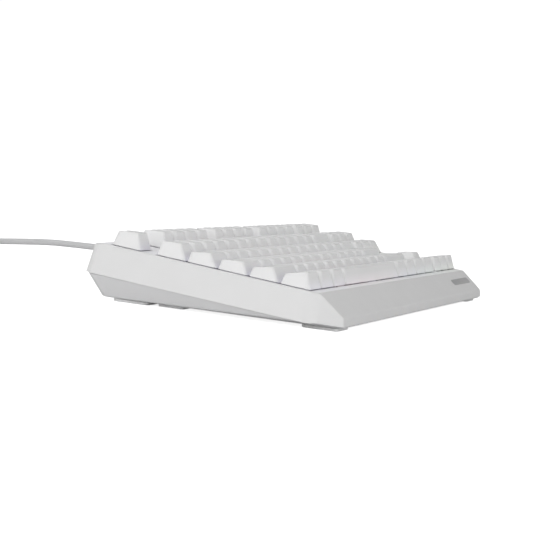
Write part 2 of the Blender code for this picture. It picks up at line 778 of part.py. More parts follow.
def make_cable_tie(material):
    """Flat strap round the bundle of turns."""
    half_width = 5 * MM
    inner = math.sqrt((COIL_RADIUS - 2.5 * CABLE_DIAMETER - GAP) ** 2 - half_width**2)
    outer = COIL_RADIUS + 2.5 * CABLE_DIAMETER + GAP
    top = COIL_BASE + CABLE_DIAMETER + LAYER_RISE + GAP
    thick = COIL_BASE - GAP
    cx, cy = COIL_CENTRE
    matrix = Matrix.Translation((cx, cy, 0)) @ Matrix.Rotation(math.radians(215), 4, "Z")
    strap = bmesh.new()
    box(strap, (inner - thick, -half_width, 0), (outer + thick, half_width, top + thick))
    tie = add_object("cable_tie", strap, material, matrix)
    window = bmesh.new()
    box(window, (inner, -2 * half_width, thick), (outer, 2 * half_width, top))
    boolean(tie, "DIFFERENCE", add_object("cable_tie_window", window, matrix=matrix))


def make_plug(rubber, metal):
    """USB plug beside the coil, pointing away from it: moulded grip with a tapered back, hollow metal shell."""
    cx, cy = COIL_CENTRE
    north = cy + COIL_RADIUS + 2.5 * CABLE_DIAMETER - CABLE_DIAMETER
    back_x = cx - TAIL_LENGTH - GAP
    grip = bmesh.new()
    cylinder(
        grip,
        (back_x, north, PLUG_CENTRE_Z),
        (back_x - 10 * MM, north, PLUG_CENTRE_Z),
        2.8 * MM,
        end_radius=3.6 * MM,
        segments=12,
    )
    plug = add_object("usb_plug", grip, rubber, smooth=True)
    body = bmesh.new()
    box(
        body,
        (back_x - 31 * MM, north - 7.5 * MM, PLUG_CENTRE_Z - 4.2 * MM),
        (back_x - 9 * MM, north + 7.5 * MM, PLUG_CENTRE_Z + 4.2 * MM),
    )
    long_edges = [e for e in body.edges if abs(e.verts[0].co.x - e.verts[1].co.x) > MM]
    bmesh.ops.bevel(body, geom=long_edges, offset=1.4 * MM, segments=2, profile=0.5, affect="EDGES")
    boolean(plug, "UNION", add_object("plug_grip", body))

    shell_x = back_x - 31 * MM - GAP
    shell = bmesh.new()
    box(
        shell,
        (shell_x - 12 * MM, north - 6 * MM, PLUG_CENTRE_Z - 2.25 * MM),
        (shell_x, north + 6 * MM, PLUG_CENTRE_Z + 2.25 * MM),
    )
    shell = add_object("usb_plug_shell", shell, metal)
    opening = bmesh.new()
    box(
        opening,
        (shell_x - 13 * MM, north - 5.6 * MM, PLUG_CENTRE_Z + 0.1 * MM),
        (shell_x - 1 * MM, north + 5.6 * MM, PLUG_CENTRE_Z + 1.85 * MM),
    )
    boolean(shell, "DIFFERENCE", add_object("plug_opening", opening))


clear_scene()
PARTS = make_collection("mechanical_keyboard")
CUTTERS = make_collection("cutters")

white_plastic = make_material("white_plastic", (0.82, 0.82, 0.82), 0.45)
lower_plastic = make_material("lower_white_plastic", (0.72, 0.72, 0.73), 0.5)
keycap_plastic = make_material("keycap_plastic", (0.87, 0.87, 0.87), 0.4)
switch_plastic = make_material("switch_plastic", (0.75, 0.75, 0.76), 0.4)
steel_plate = make_material("white_steel", (0.8, 0.8, 0.8), 0.4)
board_laminate = make_material("board_laminate", (0.05, 0.07, 0.06), 0.5)
steel = make_material("steel", (0.6, 0.6, 0.62), 0.3, 1.0)
pad_rubber = make_material("pad_rubber", (0.55, 0.55, 0.55), 0.8)
cable_braid = make_material("cable_braid", (0.62, 0.62, 0.63), 0.8)
cable_rubber = make_material("cable_rubber", (0.6, 0.6, 0.61), 0.6)
tie_fabric = make_material("tie_fabric", (0.1, 0.1, 0.1), 0.9)

make_top_case(white_plastic)
make_bottom_case(lower_plastic)
make_screws(steel)
make_pads(pad_rubber)
make_tilt_feet(lower_plastic)
for key in KEYS:
    make_key(*key, keycap_plastic)
make_switch_housings(switch_plastic)
make_switch_plate(steel_plate)
make_circuit_board(board_laminate)
make_stabilizer(steel)
make_strain_relief(cable_rubber)
tube("usb_cable", smooth_route(CABLE_ROUTE, 2.5 * CABLE_DIAMETER), CABLE_DIAMETER / 2, cable_braid)
make_coil(cable_braid)
make_cable_tie(tie_fabric)
make_plug(cable_rubber, steel)
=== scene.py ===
"""The looks of a white mechanical keyboard without a number pad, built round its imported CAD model.

Metres, +X to the right along the rows, +Y away from the typist, +Z up, on the desk at Z = 0. Keys, switches
and plate are drawn in the key plane: x along the rows, s up the slope from the front edge of the key field,
h square to the plane.
"""

import math

import bmesh
import bpy
from mathutils import Matrix, Vector


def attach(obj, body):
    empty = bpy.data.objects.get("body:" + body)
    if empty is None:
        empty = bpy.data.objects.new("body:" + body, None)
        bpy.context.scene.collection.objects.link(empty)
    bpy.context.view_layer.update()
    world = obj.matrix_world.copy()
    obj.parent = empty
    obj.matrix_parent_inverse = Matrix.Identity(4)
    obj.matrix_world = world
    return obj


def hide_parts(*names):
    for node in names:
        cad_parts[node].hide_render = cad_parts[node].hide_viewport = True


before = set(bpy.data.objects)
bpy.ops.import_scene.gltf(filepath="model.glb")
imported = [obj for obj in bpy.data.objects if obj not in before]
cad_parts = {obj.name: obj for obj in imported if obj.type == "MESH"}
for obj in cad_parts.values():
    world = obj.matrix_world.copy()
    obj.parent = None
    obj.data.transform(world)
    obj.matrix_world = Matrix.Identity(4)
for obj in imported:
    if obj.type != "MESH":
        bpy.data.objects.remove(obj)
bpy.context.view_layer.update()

MM = 0.001


def mm(*values):
    return tuple(value * MM for value in values)


def scaled(levels):
    return [mm(*level) for level in levels]


# Case, as in the CAD source
UNIT = 19.05 * MM
FIELD_WIDTH = 18.25 * UNIT
TYPING_ANGLE = math.radians(5.35)
FIELD_FRONT_Y = -57.3 * MM
RIM_HEIGHT = 21.2 * MM
HALF_WIDTH = 181.0 * MM
HALF_DEPTH = 78.5 * MM
RIM_HALF_WIDTH = 176.0 * MM
UNDERSIDE = 2.0 * MM
WALL = 2.2 * MM
PARTING_HEIGHT = 9.54 * MM
PARTING_SLOPE = 0.0821
DECK_THICKNESS = 6.4 * MM
DECK_FRONT = 6.0 * MM
LIP_TOP = 8.3 * MM
GAP = 0.3 * MM
TOP_ROUNDING = 3.0 * MM
BOTTOM_ROUNDING = 1.2 * MM
PARTING_ROUNDING = 0.25 * MM
OUTLET_RADIUS = 4.2 * MM
BADGE_X = 139.0 * MM
BADGE_DROP = 9.0 * MM  # its middle from the deck's front edge, down the slope

# Caps, with heights over the key plane
KEY_BASE = 0.3 * MM
KEY_MARGIN = 0.475 * MM
KEY_SIDE_INSET = 2.9 * MM
KEY_WALL = 1.2 * MM
KEY_CEILING = 1.4 * MM
BASE_RADIUS = 2.0 * MM
TOP_RADIUS = 1.9 * MM
TOP_FILLET = 0.65 * MM
DISH = 0.6 * MM
CROWN = 0.6 * MM
STEM = 5.2 * MM
STEM_BOTTOM = -1.1 * MM
LONGEST_KEY = 4  # in units; only the space bar is longer
STABILIZER_SPACING = 100.0 * MM
STABILIZER_STEM = 4.0 * MM
STABILIZER_STEM_BOTTOM = -2.3 * MM
LEGEND_SIZE = 4.4 * MM
SYMBOL_SHARE = 0.75  # symbols' height to the characters' size
LEGEND_INSET = 3.9 * MM  # its middle from the top's left edge
LEGEND_SHARE = 0.6  # and from the top's front edge, in depths of the top
LEGEND_THICKNESS = 0.05 * MM
LEGEND_LIFT = 0.03 * MM

# Pads, feet and screws
PAD_HEIGHT = 1.7 * MM
PAD_CENTRE_X = 159.0 * MM
PAD_HALF_WIDTH = 11.0 * MM
PAD_SPANS = {"front_pad": mm(-74.7, -52.6), "rear_pad": mm(40.9, 63.1)}
FOOT_INNER_X = 147.9 * MM
FOOT_OUTER_X = 169.1 * MM
FOOT_CENTRE_X = (FOOT_INNER_X + FOOT_OUTER_X) / 2
FOOT_HALF_WIDTH = (FOOT_OUTER_X - FOOT_INNER_X) / 2
FOOT_LENGTH = 15.5 * MM
FOOT_PIVOT = mm(34.5, 3.7)  # y and z
FOOT_TOP = 1.9 * MM
FOOT_BOTTOM = -3.2 * MM
POCKET_CENTRE_Y = 27.6 * MM
SCREWS = [mm(x, y) for y, width in ((-66.3, 135.0), (43.2, 120.0)) for x in (-width, 0.0, width)]
SCREW_HEAD_RADIUS = 2.4 * MM
SCREW_RADIUS = 1.2 * MM
SCREW_BORE_TOP = 13.3 * MM
LOWER_BOSS_TOP = 6.2 * MM
LOWER_BOSS_RADIUS = 4.2 * MM
UPPER_BOSS_RADIUS = 2.6 * MM

# Cable
CABLE_DIAMETER = 4.5 * MM
CABLE_EXIT = (0.0, 0.1030, 0.0162)
CABLE_ROUTE = [
    (0.0, 0.1030, 0.0162), (0.0003, 0.1130, 0.0162), (0.0030, 0.1260, 0.0160),
    (0.0090, 0.1405, 0.0156), (0.0172, 0.1560, 0.0151), (0.0280, 0.1743, 0.0142),
    (0.0345, 0.1885, 0.0135), (0.0420, 0.2061, 0.0125), (0.0500, 0.2240, 0.0108),
    (0.0590, 0.2436, 0.0086), (0.0672, 0.2630, 0.0063), (0.0728, 0.2790, 0.0047),
    (0.0761, 0.2900, 0.0034), (0.0763, 0.2922, 0.0032),
]
COIL_CENTRE = (0.0410, 0.3107)
COIL_RADIUS = 26.3 * MM
COIL_BASE = 0.9 * MM
LAYER_RISE = 3.9 * MM
TAIL_LENGTH = 36.0 * MM
PLUG_CENTRE_Z = 4.5 * MM
TURN_POINTS = 48
TURNS_BELOW = 5
TURNS_ABOVE = 4
COIL_TURNS = 8.25
STEP_START = 5 / 6
CROSSING_RISE = 0.65 * MM
STRANDS = 8.0  # round the sleeve, each way
STRAND_TURNS = 2.0
STRAP_HALF_WIDTH = 5 * MM
STRAP_ANGLE = math.radians(215)

# Key rows: start in units from the front, then the heights of the cap's top edge at the back and the front,
# and how far the top's front and back edges lie inside the cell
ROWS = {
    "function": (5.5, *mm(8.8, 10.0, 4.2, 1.9)),
    "number": (4.0, *mm(8.5, 9.7, 5.7, 0.9)),
    "upper": (3.0, *mm(6.3, 8.0, 6.2, 0.9)),
    "home": (2.0, *mm(5.8, 7.5, 5.1, 1.0)),
    "lower": (1.0, *mm(5.7, 8.2, 5.7, 1.1)),
    "bottom": (0.0, *mm(6.2, 9.8, 4.3, 1.6)),
}

# Keys: body, row, left edge and width in units, and the legend of each cap: characters or a symbol's name
KEYS = [
    ("key_escape", "function", 0.0, 1.0, ["ring"]),
    ("keys_function_1_to_4", "function", 2.0, 1.0, ["F1", "F2", "F3", "F4"]),
    ("keys_function_5_to_8", "function", 6.5, 1.0, ["F5", "F6", "F7", "F8"]),
    ("keys_function_9_to_12", "function", 11.0, 1.0, ["F9", "F10", "F11", "F12"]),
    ("key_print_screen", "function", 15.25, 1.0, ["ring"]),
    ("key_scroll_lock", "function", 16.25, 1.0, ["bars"]),
    ("key_pause", "function", 17.25, 1.0, ["bar"]),
    ("keys_number_row", "number", 0.0, 1.0, list("`1234567890-=")),
    ("key_backspace", "number", 13.0, 2.0, ["left"]),
    ("key_insert", "number", 15.25, 1.0, ["ring"]),
    ("key_home", "number", 16.25, 1.0, ["bar"]),
    ("key_page_up", "number", 17.25, 1.0, ["up"]),
    ("key_tab", "upper", 0.0, 1.5, ["right"]),
    ("keys_upper_letter_row", "upper", 1.5, 1.0, list("QWERTYUIOP[]")),
    ("key_backslash", "upper", 13.5, 1.5, ["\\"]),
    ("key_delete", "upper", 15.25, 1.0, ["ring"]),
    ("key_end", "upper", 16.25, 1.0, ["bar"]),
    ("key_page_down", "upper", 17.25, 1.0, ["down"]),
    ("key_caps_lock", "home", 0.0, 1.75, ["bar"]),
    ("keys_home_letter_row", "home", 1.75, 1.0, list("ASDFGHJKL;'")),
    ("key_enter", "home", 12.75, 2.25, ["left"]),
    ("key_shift_left", "lower", 0.0, 2.25, ["up"]),
    ("keys_lower_letter_row", "lower", 2.25, 1.0, list("ZXCVBNM,./")),
    ("key_shift_right", "lower", 12.25, 2.75, ["up"]),
    ("key_arrow_up", "lower", 16.25, 1.0, ["up"]),
    ("key_control_left", "bottom", 0.0, 1.25, ["bar"]),
    ("key_system", "bottom", 1.25, 1.25, ["ring"]),
    ("key_alt_left", "bottom", 2.5, 1.25, ["bar"]),
    ("key_space", "bottom", 3.75, 6.25, [None]),
    ("key_alt_right", "bottom", 10.0, 1.25, ["bar"]),
    ("key_function_shift", "bottom", 11.25, 1.25, ["ring"]),
    ("key_menu", "bottom", 12.5, 1.25, ["bars"]),
    ("key_control_right", "bottom", 13.75, 1.25, ["bar"]),
    ("key_arrow_left", "bottom", 15.25, 1.0, ["left"]),
    ("key_arrow_down", "bottom", 16.25, 1.0, ["down"]),
    ("key_arrow_right", "bottom", 17.25, 1.0, ["right"]),
]

# Openings in the deck, in units: left, right, front, back
DECK_OPENINGS = [
    (0.0, 1.0, 5.5, 6.5), (2.0, 6.0, 5.5, 6.5), (6.5, 10.5, 5.5, 6.5),
    (11.0, 15.0, 5.5, 6.5), (15.25, 18.25, 5.5, 6.5), (0.0, 15.0, 0.0, 5.0),
    (15.25, 18.25, 3.0, 5.0), (15.25, 18.25, 0.0, 1.0),
]
ARROW_OPENING = (16.25, 17.25, 0.5, 2.0)

# Camera: yaw, pitch and roll in degrees
CAMERA_PLACE = (-1.13506, -0.36128, 0.1054)
CAMERA_ANGLES = (18.531, -4.531, 5.947)
LENS = 116.81
SENSOR_WIDTH = 36.0

# Surroundings: what the camera sees (SEEN, GLARE), and what lights the object
SKY_SEEN = 1.3
SKY_HORIZON = 1.2
SKY_ZENITH = 0.05
SKY_TOP = 0.8  # how far up the sky its zenith strength is reached
FLOOR_HALF_SIZE = 6.0
FLOOR_SEEN = 0.9
FLOOR_GLARE = 0.86
FLOOR_TONE = 0.80

# Soft boxes: direction from the keyboard, size and strength
SOFTBOX_DISTANCE = 1.2
SOFTBOXES = {
    "softbox_left": ((-1.0, 0.05, 0.45), 1.0, 4.9),
    "softbox_front": ((-0.35, -1.0, 0.12), 0.8, 3.0),
    "softbox_top": ((0.1, 0.3, 1.0), 1.2, 5.0),
}

# Backlight, painted as glow on the caps, the deck and the plate: hues along the rows, and strengths
LED_HUES = [
    (0.0, (0.55, 0.50, 1.0)), (0.15, (0.60, 0.48, 1.0)), (0.30, (1.0, 0.50, 0.72)),
    (0.45, (1.0, 0.66, 0.80)), (0.60, (0.50, 0.62, 1.0)), (0.80, (0.50, 0.96, 0.76)),
    (1.0, (0.88, 0.97, 0.55)),
]
CAP_GLOW = 0.10
CAP_GLOW_TOP = 6.0 * MM
DECK_GLOW = 0.14
PLATE_GLOW = 0.15

KEY_PLANE = Matrix.Translation((0, FIELD_FRONT_Y, RIM_HEIGHT)) @ Matrix.Rotation(TYPING_ANGLE, 4, "X")


# Camera, floor and lights

def link(obj):
    bpy.context.scene.collection.objects.link(obj)
    return obj


def make_camera():
    """Low and to the left of the keyboard, looking along its rows, with a long lens and a slight tilt."""
    data = bpy.data.cameras.new("camera")
    data.sensor_width = SENSOR_WIDTH
    data.lens = LENS
    data.clip_start = 0.05
    data.clip_end = 50.0
    camera = link(bpy.data.objects.new("camera", data))
    yaw, pitch, roll = (math.radians(angle) for angle in CAMERA_ANGLES)
    aim = Vector((math.cos(yaw) * math.cos(pitch), math.sin(yaw) * math.cos(pitch), math.sin(pitch)))
    turned = aim.to_track_quat("-Z", "Y").to_matrix() @ Matrix.Rotation(roll, 3, "Z")
    camera.matrix_world = Matrix.Translation(CAMERA_PLACE) @ turned.to_4x4()
    bpy.context.scene.camera = camera


def feed(tree, socket, value):
    """Joins another node's output to a socket, or sets the socket to a number or a colour."""
    if isinstance(value, bpy.types.NodeSocket):
        tree.links.new(value, socket)
    else:
        socket.default_value = value


def add_node(tree, kind, inputs=None):
    node = tree.nodes.new("ShaderNode" + kind)
    for name, value in (inputs or {}).items():
        feed(tree, node.inputs[name], value)
    return node


def camera_ray_mix(tree, seen, unseen, kind):
    """Mixes what the camera sees with what lights the object."""
    is_camera = add_node(tree, "LightPath").outputs["Is Camera Ray"]
    mix = add_node(tree, "MixShader", {0: is_camera, 1: unseen.outputs[0], 2: seen.outputs[0]})
    add_node(tree, "Output" + kind, {"Surface": mix.outputs[0]})


def empty_tree(owner):
    owner.use_nodes = True
    owner.node_tree.nodes.clear()
    return owner.node_tree


def make_sky():
    """White to the camera. Its light is strong near the horizon and weak overhead."""
    world = bpy.data.worlds.new("studio")
    tree = empty_tree(world)
    direction = add_node(tree, "TexCoord").outputs["Generated"]
    height = add_node(tree, "SeparateXYZ", {0: direction}).outputs["Z"]
    limits = {"Value": height, "From Max": SKY_TOP, "To Min": SKY_HORIZON, "To Max": SKY_ZENITH}
    strength = add_node(tree, "MapRange", limits).outputs["Result"]
    seen = add_node(tree, "Background", {"Strength": SKY_SEEN})
    unseen = add_node(tree, "Background", {"Strength": strength})
    camera_ray_mix(tree, seen, unseen, "World")
    bpy.context.scene.world = world


def make_softboxes():
    for name, (direction, size, strength) in SOFTBOXES.items():
        data = bpy.data.lights.new(name, "AREA")
        data.shape = "SQUARE"
        data.size = size
        data.energy = strength
        light = link(bpy.data.objects.new(name, data))
        away = Vector(direction).normalized()
        facing_in = away.to_track_quat("Z", "Y").to_matrix().to_4x4()
        light.matrix_world = Matrix.Translation(SOFTBOX_DISTANCE * away) @ facing_in
        light.visible_camera = False


def make_floor():
    """Pale floor, overexposed to the camera."""
    material = bpy.data.materials.new("studio_floor")
    tree = empty_tree(material)
    paper = add_node(tree, "BsdfDiffuse", {"Color": (*[FLOOR_SEEN] * 3, 1)})
    glare = add_node(tree, "Emission", {"Strength": FLOOR_GLARE})
    seen = add_node(tree, "AddShader", {0: paper.outputs[0], 1: glare.outputs[0]})
    unseen = add_node(tree, "BsdfDiffuse", {"Color": (*[FLOOR_TONE] * 3, 1)})
    camera_ray_mix(tree, seen, unseen, "Material")
    bm = bmesh.new()
    bmesh.ops.create_grid(bm, x_segments=1, y_segments=1, size=FLOOR_HALF_SIZE)
    floor = mesh_object("floor", bm)
    floor.data.materials.append(material)


# Materials

class Surface:
    """A material with a Principled shader and helpers that add nodes to it."""

    def __init__(self, name, color, roughness, metallic=0.0):
        self.material = bpy.data.materials.new(name)
        self.material.use_nodes = True
        self.tree = self.material.node_tree
        self.shader = self.tree.nodes["Principled BSDF"]
        self.color = color
        self.roughness = roughness
        self.set(Base_Color=(*color, 1), Roughness=roughness, Metallic=metallic)
        self.place = self.node("TexCoord").outputs

    def node(self, kind, inputs=None):
        return add_node(self.tree, kind, inputs)

    def set(self, **inputs):
        for name, value in inputs.items():
            feed(self.tree, self.shader.inputs[name.replace("_", " ")], value)
        return self

    def noise(self, size, detail=3.0, stretch=(1, 1, 1)):
        """Noise whose features are about that size, in object space."""
        mapping = self.node("Mapping", {"Vector": self.place["Object"], "Scale": stretch})
        settings = {"Vector": mapping.outputs["Vector"], "Scale": 1 / size, "Detail": detail}
        return self.node("TexNoise", settings).outputs["Fac"]

    def remap(self, value, start, end, low=0.0, high=1.0):
        """Maps start to end onto low to high, and stays within them."""
        limits = {"Value": value, "From Min": start, "From Max": end, "To Min": low, "To Max": high}
        return self.node("MapRange", limits).outputs["Result"]

    def math(self, operation, a, b=0.0):
        node = self.node("Math", {0: a, 1: b})
        node.operation = operation
        return node.outputs[0]

    def component(self, vector, axis):
        return self.node("SeparateXYZ", {0: vector}).outputs[axis]

    def ramp(self, value, shades):
        """Colour along a ramp of positions and shades."""
        node = self.node("ValToRGB", {"Fac": value})
        elements = node.color_ramp.elements
        while len(elements) < len(shades):
            elements.new(0.5)
        for element, (position, shade) in zip(elements, shades):
            element.position = position
            element.color = (*shade, 1)
        return node.outputs["Color"]

    def tint(self, value, dark, light):
        """Base colour between two shades."""
        return self.set(Base_Color=self.ramp(value, [(0.3, dark), (0.7, light)]))

    def mottle(self, size, amount):
        """Slight changes of shade across the surface."""
        dark = [c * (1 - amount) for c in self.color]
        light = [min(1.0, c * (1 + amount)) for c in self.color]
        return self.tint(self.noise(size), dark, light)

    def rough(self, value, amount):
        """Roughness that varies by an amount each way."""
        low, high = self.roughness - amount, self.roughness + amount
        return self.set(Roughness=self.remap(value, 0.25, 0.75, low, high))

    def bump(self, height, depth, strength=1.0):
        node = self.node("Bump", {"Height": height, "Distance": depth, "Strength": strength})
        previous = self.shader.inputs["Normal"].links
        if previous:
            feed(self.tree, node.inputs["Normal"], previous[0].from_socket)
        return self.set(Normal=node.outputs["Normal"])


def moulded(name, color, roughness, grain, depth):
    """Spark-eroded plastic: fine grain, hardly any sink and shade variation."""
    surface = Surface(name, color, roughness)
    surface.mottle(18 * MM, 0.012).rough(surface.noise(3 * MM), 0.05)
    surface.bump(surface.noise(grain, 2.0), depth, 0.6)
    return surface.bump(surface.noise(25 * MM), 0.08 * MM, 0.3)


def led_hue(surface, wash):
    """The colour of the painted backlight glow, which changes along the rows, washed out towards white."""
    position = surface.node("NewGeometry").outputs["Position"]
    across = surface.remap(surface.component(position, "X"), -HALF_WIDTH, HALF_WIDTH)
    hues = [(place, [value + (1 - value) * wash for value in hue]) for place, hue in LED_HUES]
    return surface.set(Emission_Color=surface.ramp(across, hues))


def facing(surface, axis, low, high):
    """Rises from 0 to 1 as the size of one component of the local normal goes from low to high."""
    size = surface.math("ABSOLUTE", surface.component(surface.place["Normal"], axis))
    return surface.remap(size, low, high)


def keycap_plastic():
    """White double-shot plastic. The backlight's light is painted on as glow over the lower part of its front
    and back walls.
    """
    surface = moulded("keycap_plastic", (0.875,) * 3, 0.42, 0.35 * MM, 0.012 * MM)
    led_hue(surface, 0.35)
    height = surface.component(surface.place["Object"], "Z")
    # painted glow: emission strongest at the cap's rim and gone by CAP_GLOW_TOP, on the front and back walls
    # only
    fade = surface.remap(height, KEY_BASE, CAP_GLOW_TOP, CAP_GLOW, 0.0)
    glow = surface.math("MULTIPLY", fade, facing(surface, "Y", 0.5, 0.9))
    return surface.set(Emission_Strength=glow).material


def shell_plastic():
    """White case plastic, with the backlight's spill painted onto the deck as glow, not onto the flanks or
    the sloping front.
    """
    surface = led_hue(moulded("white_shell", (0.80,) * 3, 0.48, 0.30 * MM, 0.02 * MM), 0.8)
    # painted glow on the deck's upward faces only
    glow = surface.math("MULTIPLY", facing(surface, "Z", 0.97, 0.99), DECK_GLOW)
    return surface.set(Emission_Strength=glow).material


def braid():
    """Braided sleeve: two sets of strands that cross over and under each other, on the cable's UV map."""
    surface = Surface("cable_braid", (0.60, 0.60, 0.61), 0.75)
    along = surface.math("MULTIPLY", surface.component(surface.place["UV"], "X"), STRAND_TURNS)
    around = surface.math("MULTIPLY", surface.component(surface.place["UV"], "Y"), STRANDS)
    strands = [surface.math(operation, along, around) for operation in ("ADD", "SUBTRACT")]
    waves = [surface.math("SINE", surface.math("MULTIPLY", strand, math.pi)) for strand in strands]
    crests = [surface.math("ABSOLUTE", wave) for wave in waves]
    cells = surface.math("ADD", *(surface.math("FLOOR", strand) for strand in strands))
    is_odd = surface.math("FRACT", surface.math("MULTIPLY", cells, 0.5))
    over = surface.math("GREATER_THAN", is_odd, 0.25)
    under = surface.math("SUBTRACT", 1.0, over)
    height = surface.math(
        "ADD", surface.math("MULTIPLY", over, crests[0]), surface.math("MULTIPLY", under, crests[1])
    )
    # painted shade: darker down in the grooves between the strands, lighter on their crests
    surface.tint(height, (0.52, 0.52, 0.53), (0.85, 0.85, 0.86))
    surface.bump(height, 0.25 * MM, 0.8)
    surface.bump(surface.noise(0.12 * MM, 2.0), 0.03 * MM, 0.5)
    return surface.set(Sheen_Weight=0.3).material


def woven(name, color):
    """Short-pile strap."""
    surface = Surface(name, color, 0.9).mottle(1.2 * MM, 0.35)
    surface.bump(surface.noise(0.25 * MM, 4.0), 0.2 * MM, 0.9)
    return surface.set(Sheen_Weight=0.5).material


def brushed(name, color, roughness, direction):
    """Metal with fine streaks along one axis."""
    surface = Surface(name, color, roughness, 1.0)
    streaks = surface.noise(0.3 * MM, 3.0, [0.03 if axis == direction else 1.0 for axis in range(3)])
    return surface.rough(streaks, 0.08).mottle(8 * MM, 0.04).bump(streaks, 0.006 * MM, 0.4).material


def lit_plate():
    """White powder coat between the switches, with the light of their lamps painted on as an even glow."""
    surface = led_hue(Surface("plate_coat", (0.78,) * 3, 0.5), 0.6).mottle(12 * MM, 0.02)
    # painted glow: even emission over the whole plate
    surface.rough(surface.noise(2 * MM), 0.06).set(Emission_Strength=PLATE_GLOW)
    return surface.bump(surface.noise(0.7 * MM, 2.0), 0.03 * MM, 0.6).material


def circuit_laminate():
    """Solder mask over copper: blocky traces show through."""
    surface = Surface("circuit_laminate", (0.05, 0.08, 0.06), 0.4)
    settings = {"Vector": surface.place["Object"], "Scale": 90.0, "Mortar Size": 0.04}
    traces = surface.node("TexBrick", settings).outputs["Fac"]
    surface.tint(traces, (0.035, 0.06, 0.045), (0.08, 0.13, 0.09))
    return surface.bump(traces, 0.035 * MM, 0.5).material


def rubber(name, color, roughness):
    surface = Surface(name, color, roughness).mottle(6 * MM, 0.06)
    surface.rough(surface.noise(2 * MM), 0.05)
    return surface.bump(surface.noise(0.3 * MM, 3.0), 0.03 * MM, 0.5).material


def ink():
    surface = Surface("legend_ink", (0.07, 0.07, 0.075), 0.55).mottle(2 * MM, 0.15)
    return surface.bump(surface.noise(0.2 * MM), 0.008 * MM, 0.4).material


# Helpers

def mesh_object(name, bm, matrix=None):
    """An object that takes over a mesh under construction."""
    bmesh.ops.recalc_face_normals(bm, faces=bm.faces)
    mesh = bpy.data.meshes.new(name)
    bm.to_mesh(mesh)
    bm.free()
    obj = link(bpy.data.objects.new(name, mesh))
    if matrix is not None:
        obj.matrix_world = matrix
    return obj


def new_object(name, bm, materials, matrix=None, replaces=(), body="case", smooth=35, flat=False):
    """A finished mesh piece, riding on a body, smooth up to an angle between its faces. With flat, big faces
    have the say in the normals along soft edges."""
    obj = mesh_object(name, bm, matrix)
    obj.data.shade_smooth()
    obj.data.set_sharp_from_angle(angle=math.radians(smooth))
    for material in materials if isinstance(materials, list) else [materials]:
        obj.data.materials.append(material)
    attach(obj, body)
    if replaces:
        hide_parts(*replaces)
    if flat:
        weighting = obj.modifiers.new("weighting", "WEIGHTED_NORMAL")
        weighting.keep_sharp = True
        weighting.weight = 100
    return obj


def shaped(base, steps, bevel=0.0, matrix=None):
    """The base mesh with its weighted edges rounded, then cut and joined in steps. A step is an operation,
    a mesh and, where it is not the origin, that mesh's place."""
    obj = mesh_object("temporary", base, matrix)
    inputs = [obj]
    if bevel:
        rounding = obj.modifiers.new("rounding", "BEVEL")
        rounding.limit_method = "WEIGHT"
        rounding.width = bevel
        rounding.segments = 5
    for operation, *mesh_and_place in steps:
        helper = mesh_object("temporary", *mesh_and_place)
        inputs.append(helper)
        modifier = obj.modifiers.new("step", "BOOLEAN")
        modifier.operation = operation
        modifier.solver = "EXACT"
        modifier.object = helper
    mesh = bpy.data.meshes.new_from_object(obj.evaluated_get(bpy.context.evaluated_depsgraph_get()))
    result = bmesh.new()
    result.from_mesh(mesh)
    for used in inputs:
        bpy.data.objects.remove(used, do_unlink=True)
    bpy.data.meshes.remove(mesh)
    return result


def key_plane_point(x, s, h=0.0):
    return KEY_PLANE @ Vector((x, s, h))


def field_x(units):
    return units * UNIT - FIELD_WIDTH / 2


def parting_point(x, y, drop=0.0):
    return Vector((x, y, PARTING_HEIGHT + PARTING_SLOPE * y - drop))


def both_sides(points):
    """The points and their mirror images across X = 0."""
    return [Vector(p) for p in points] + [Vector((-p[0], p[1], p[2])) for p in points]


def hull(points, softness=None, largest=1.0):
    """Convex solid round points. softness gives an edge's rounding from its two ends, up to the largest."""
    bm = bmesh.new()
    verts = [bm.verts.new(p) for p in points]
    result = bmesh.ops.convex_hull(bm, input=verts)
    loose = [v for v in result["geom_interior"] if isinstance(v, bmesh.types.BMVert)]
    bmesh.ops.delete(bm, geom=loose, context="VERTS")
    bmesh.ops.dissolve_limit(bm, angle_limit=math.radians(0.6), verts=bm.verts, edges=bm.edges)
    if softness:
        weights = bm.edges.layers.float.new("bevel_weight_edge")
        for edge in bm.edges:
            edge[weights] = softness(*(v.co for v in edge.verts)) / largest
    return bm


def rounded_rectangle(x0, x1, y0, y1, radius, sides=(1, 1), corner=5):
    """Points round a rectangle with rounded corners. sides gives the steps along X and along Y."""
    low, high = y0 + radius, y1 - radius
    centres = ((x1 - radius, low), (x1 - radius, high), (x0 + radius, high), (x0 + radius, low))
    arcs = []
    for quarter, (cx, cy) in enumerate(centres):
        angles = [math.pi / 2 * (quarter - 1 + i / corner) for i in range(corner + 1)]
        arcs.append([Vector((cx + radius * math.cos(a), cy + radius * math.sin(a), 0)) for a in angles])
    points = []
    for quarter, arc in enumerate(arcs):
        after = arcs[(quarter + 1) % 4][0]
        steps = sides[(quarter + 1) % 2]
        points += arc + [arc[-1].lerp(after, i / steps) for i in range(1, steps)]
    return points


def add_rows(bm, rings):
    return [[bm.verts.new(p) for p in ring] for ring in rings]


def bridge(bm, rows):
    """Faces between neighbouring rows of vertices. Each row is a closed loop."""
    faces = []
    for low, high in zip(rows, rows[1:]):
        for i in range(len(low)):
            j = (i + 1) % len(low)
            faces.append(bm.faces.new((low[i], low[j], high[j], high[i])))
    return faces


def loft(bm, rings):
    """A closed skin through rings of equal numbers of points, with its first and last ring filled."""
    rows = add_rows(bm, rings)
    bm.faces.new(rows[0][::-1])
    bm.faces.new(rows[-1])
    bridge(bm, rows)


def stack(bm, levels, centre=(0, 0), corner=4, sides=(1, 1)):
    """A lofted block: each level is its height, half width, half depth and corner radius."""
    cx, cy = centre
    rings = []
    for z, half_x, half_y, radius in levels:
        radius = min(radius, half_x, half_y) * 0.999
        ring = rounded_rectangle(cx - half_x, cx + half_x, cy - half_y, cy + half_y, radius, sides, corner)
        rings.append([p + Vector((0, 0, z)) for p in ring])
    loft(bm, rings)


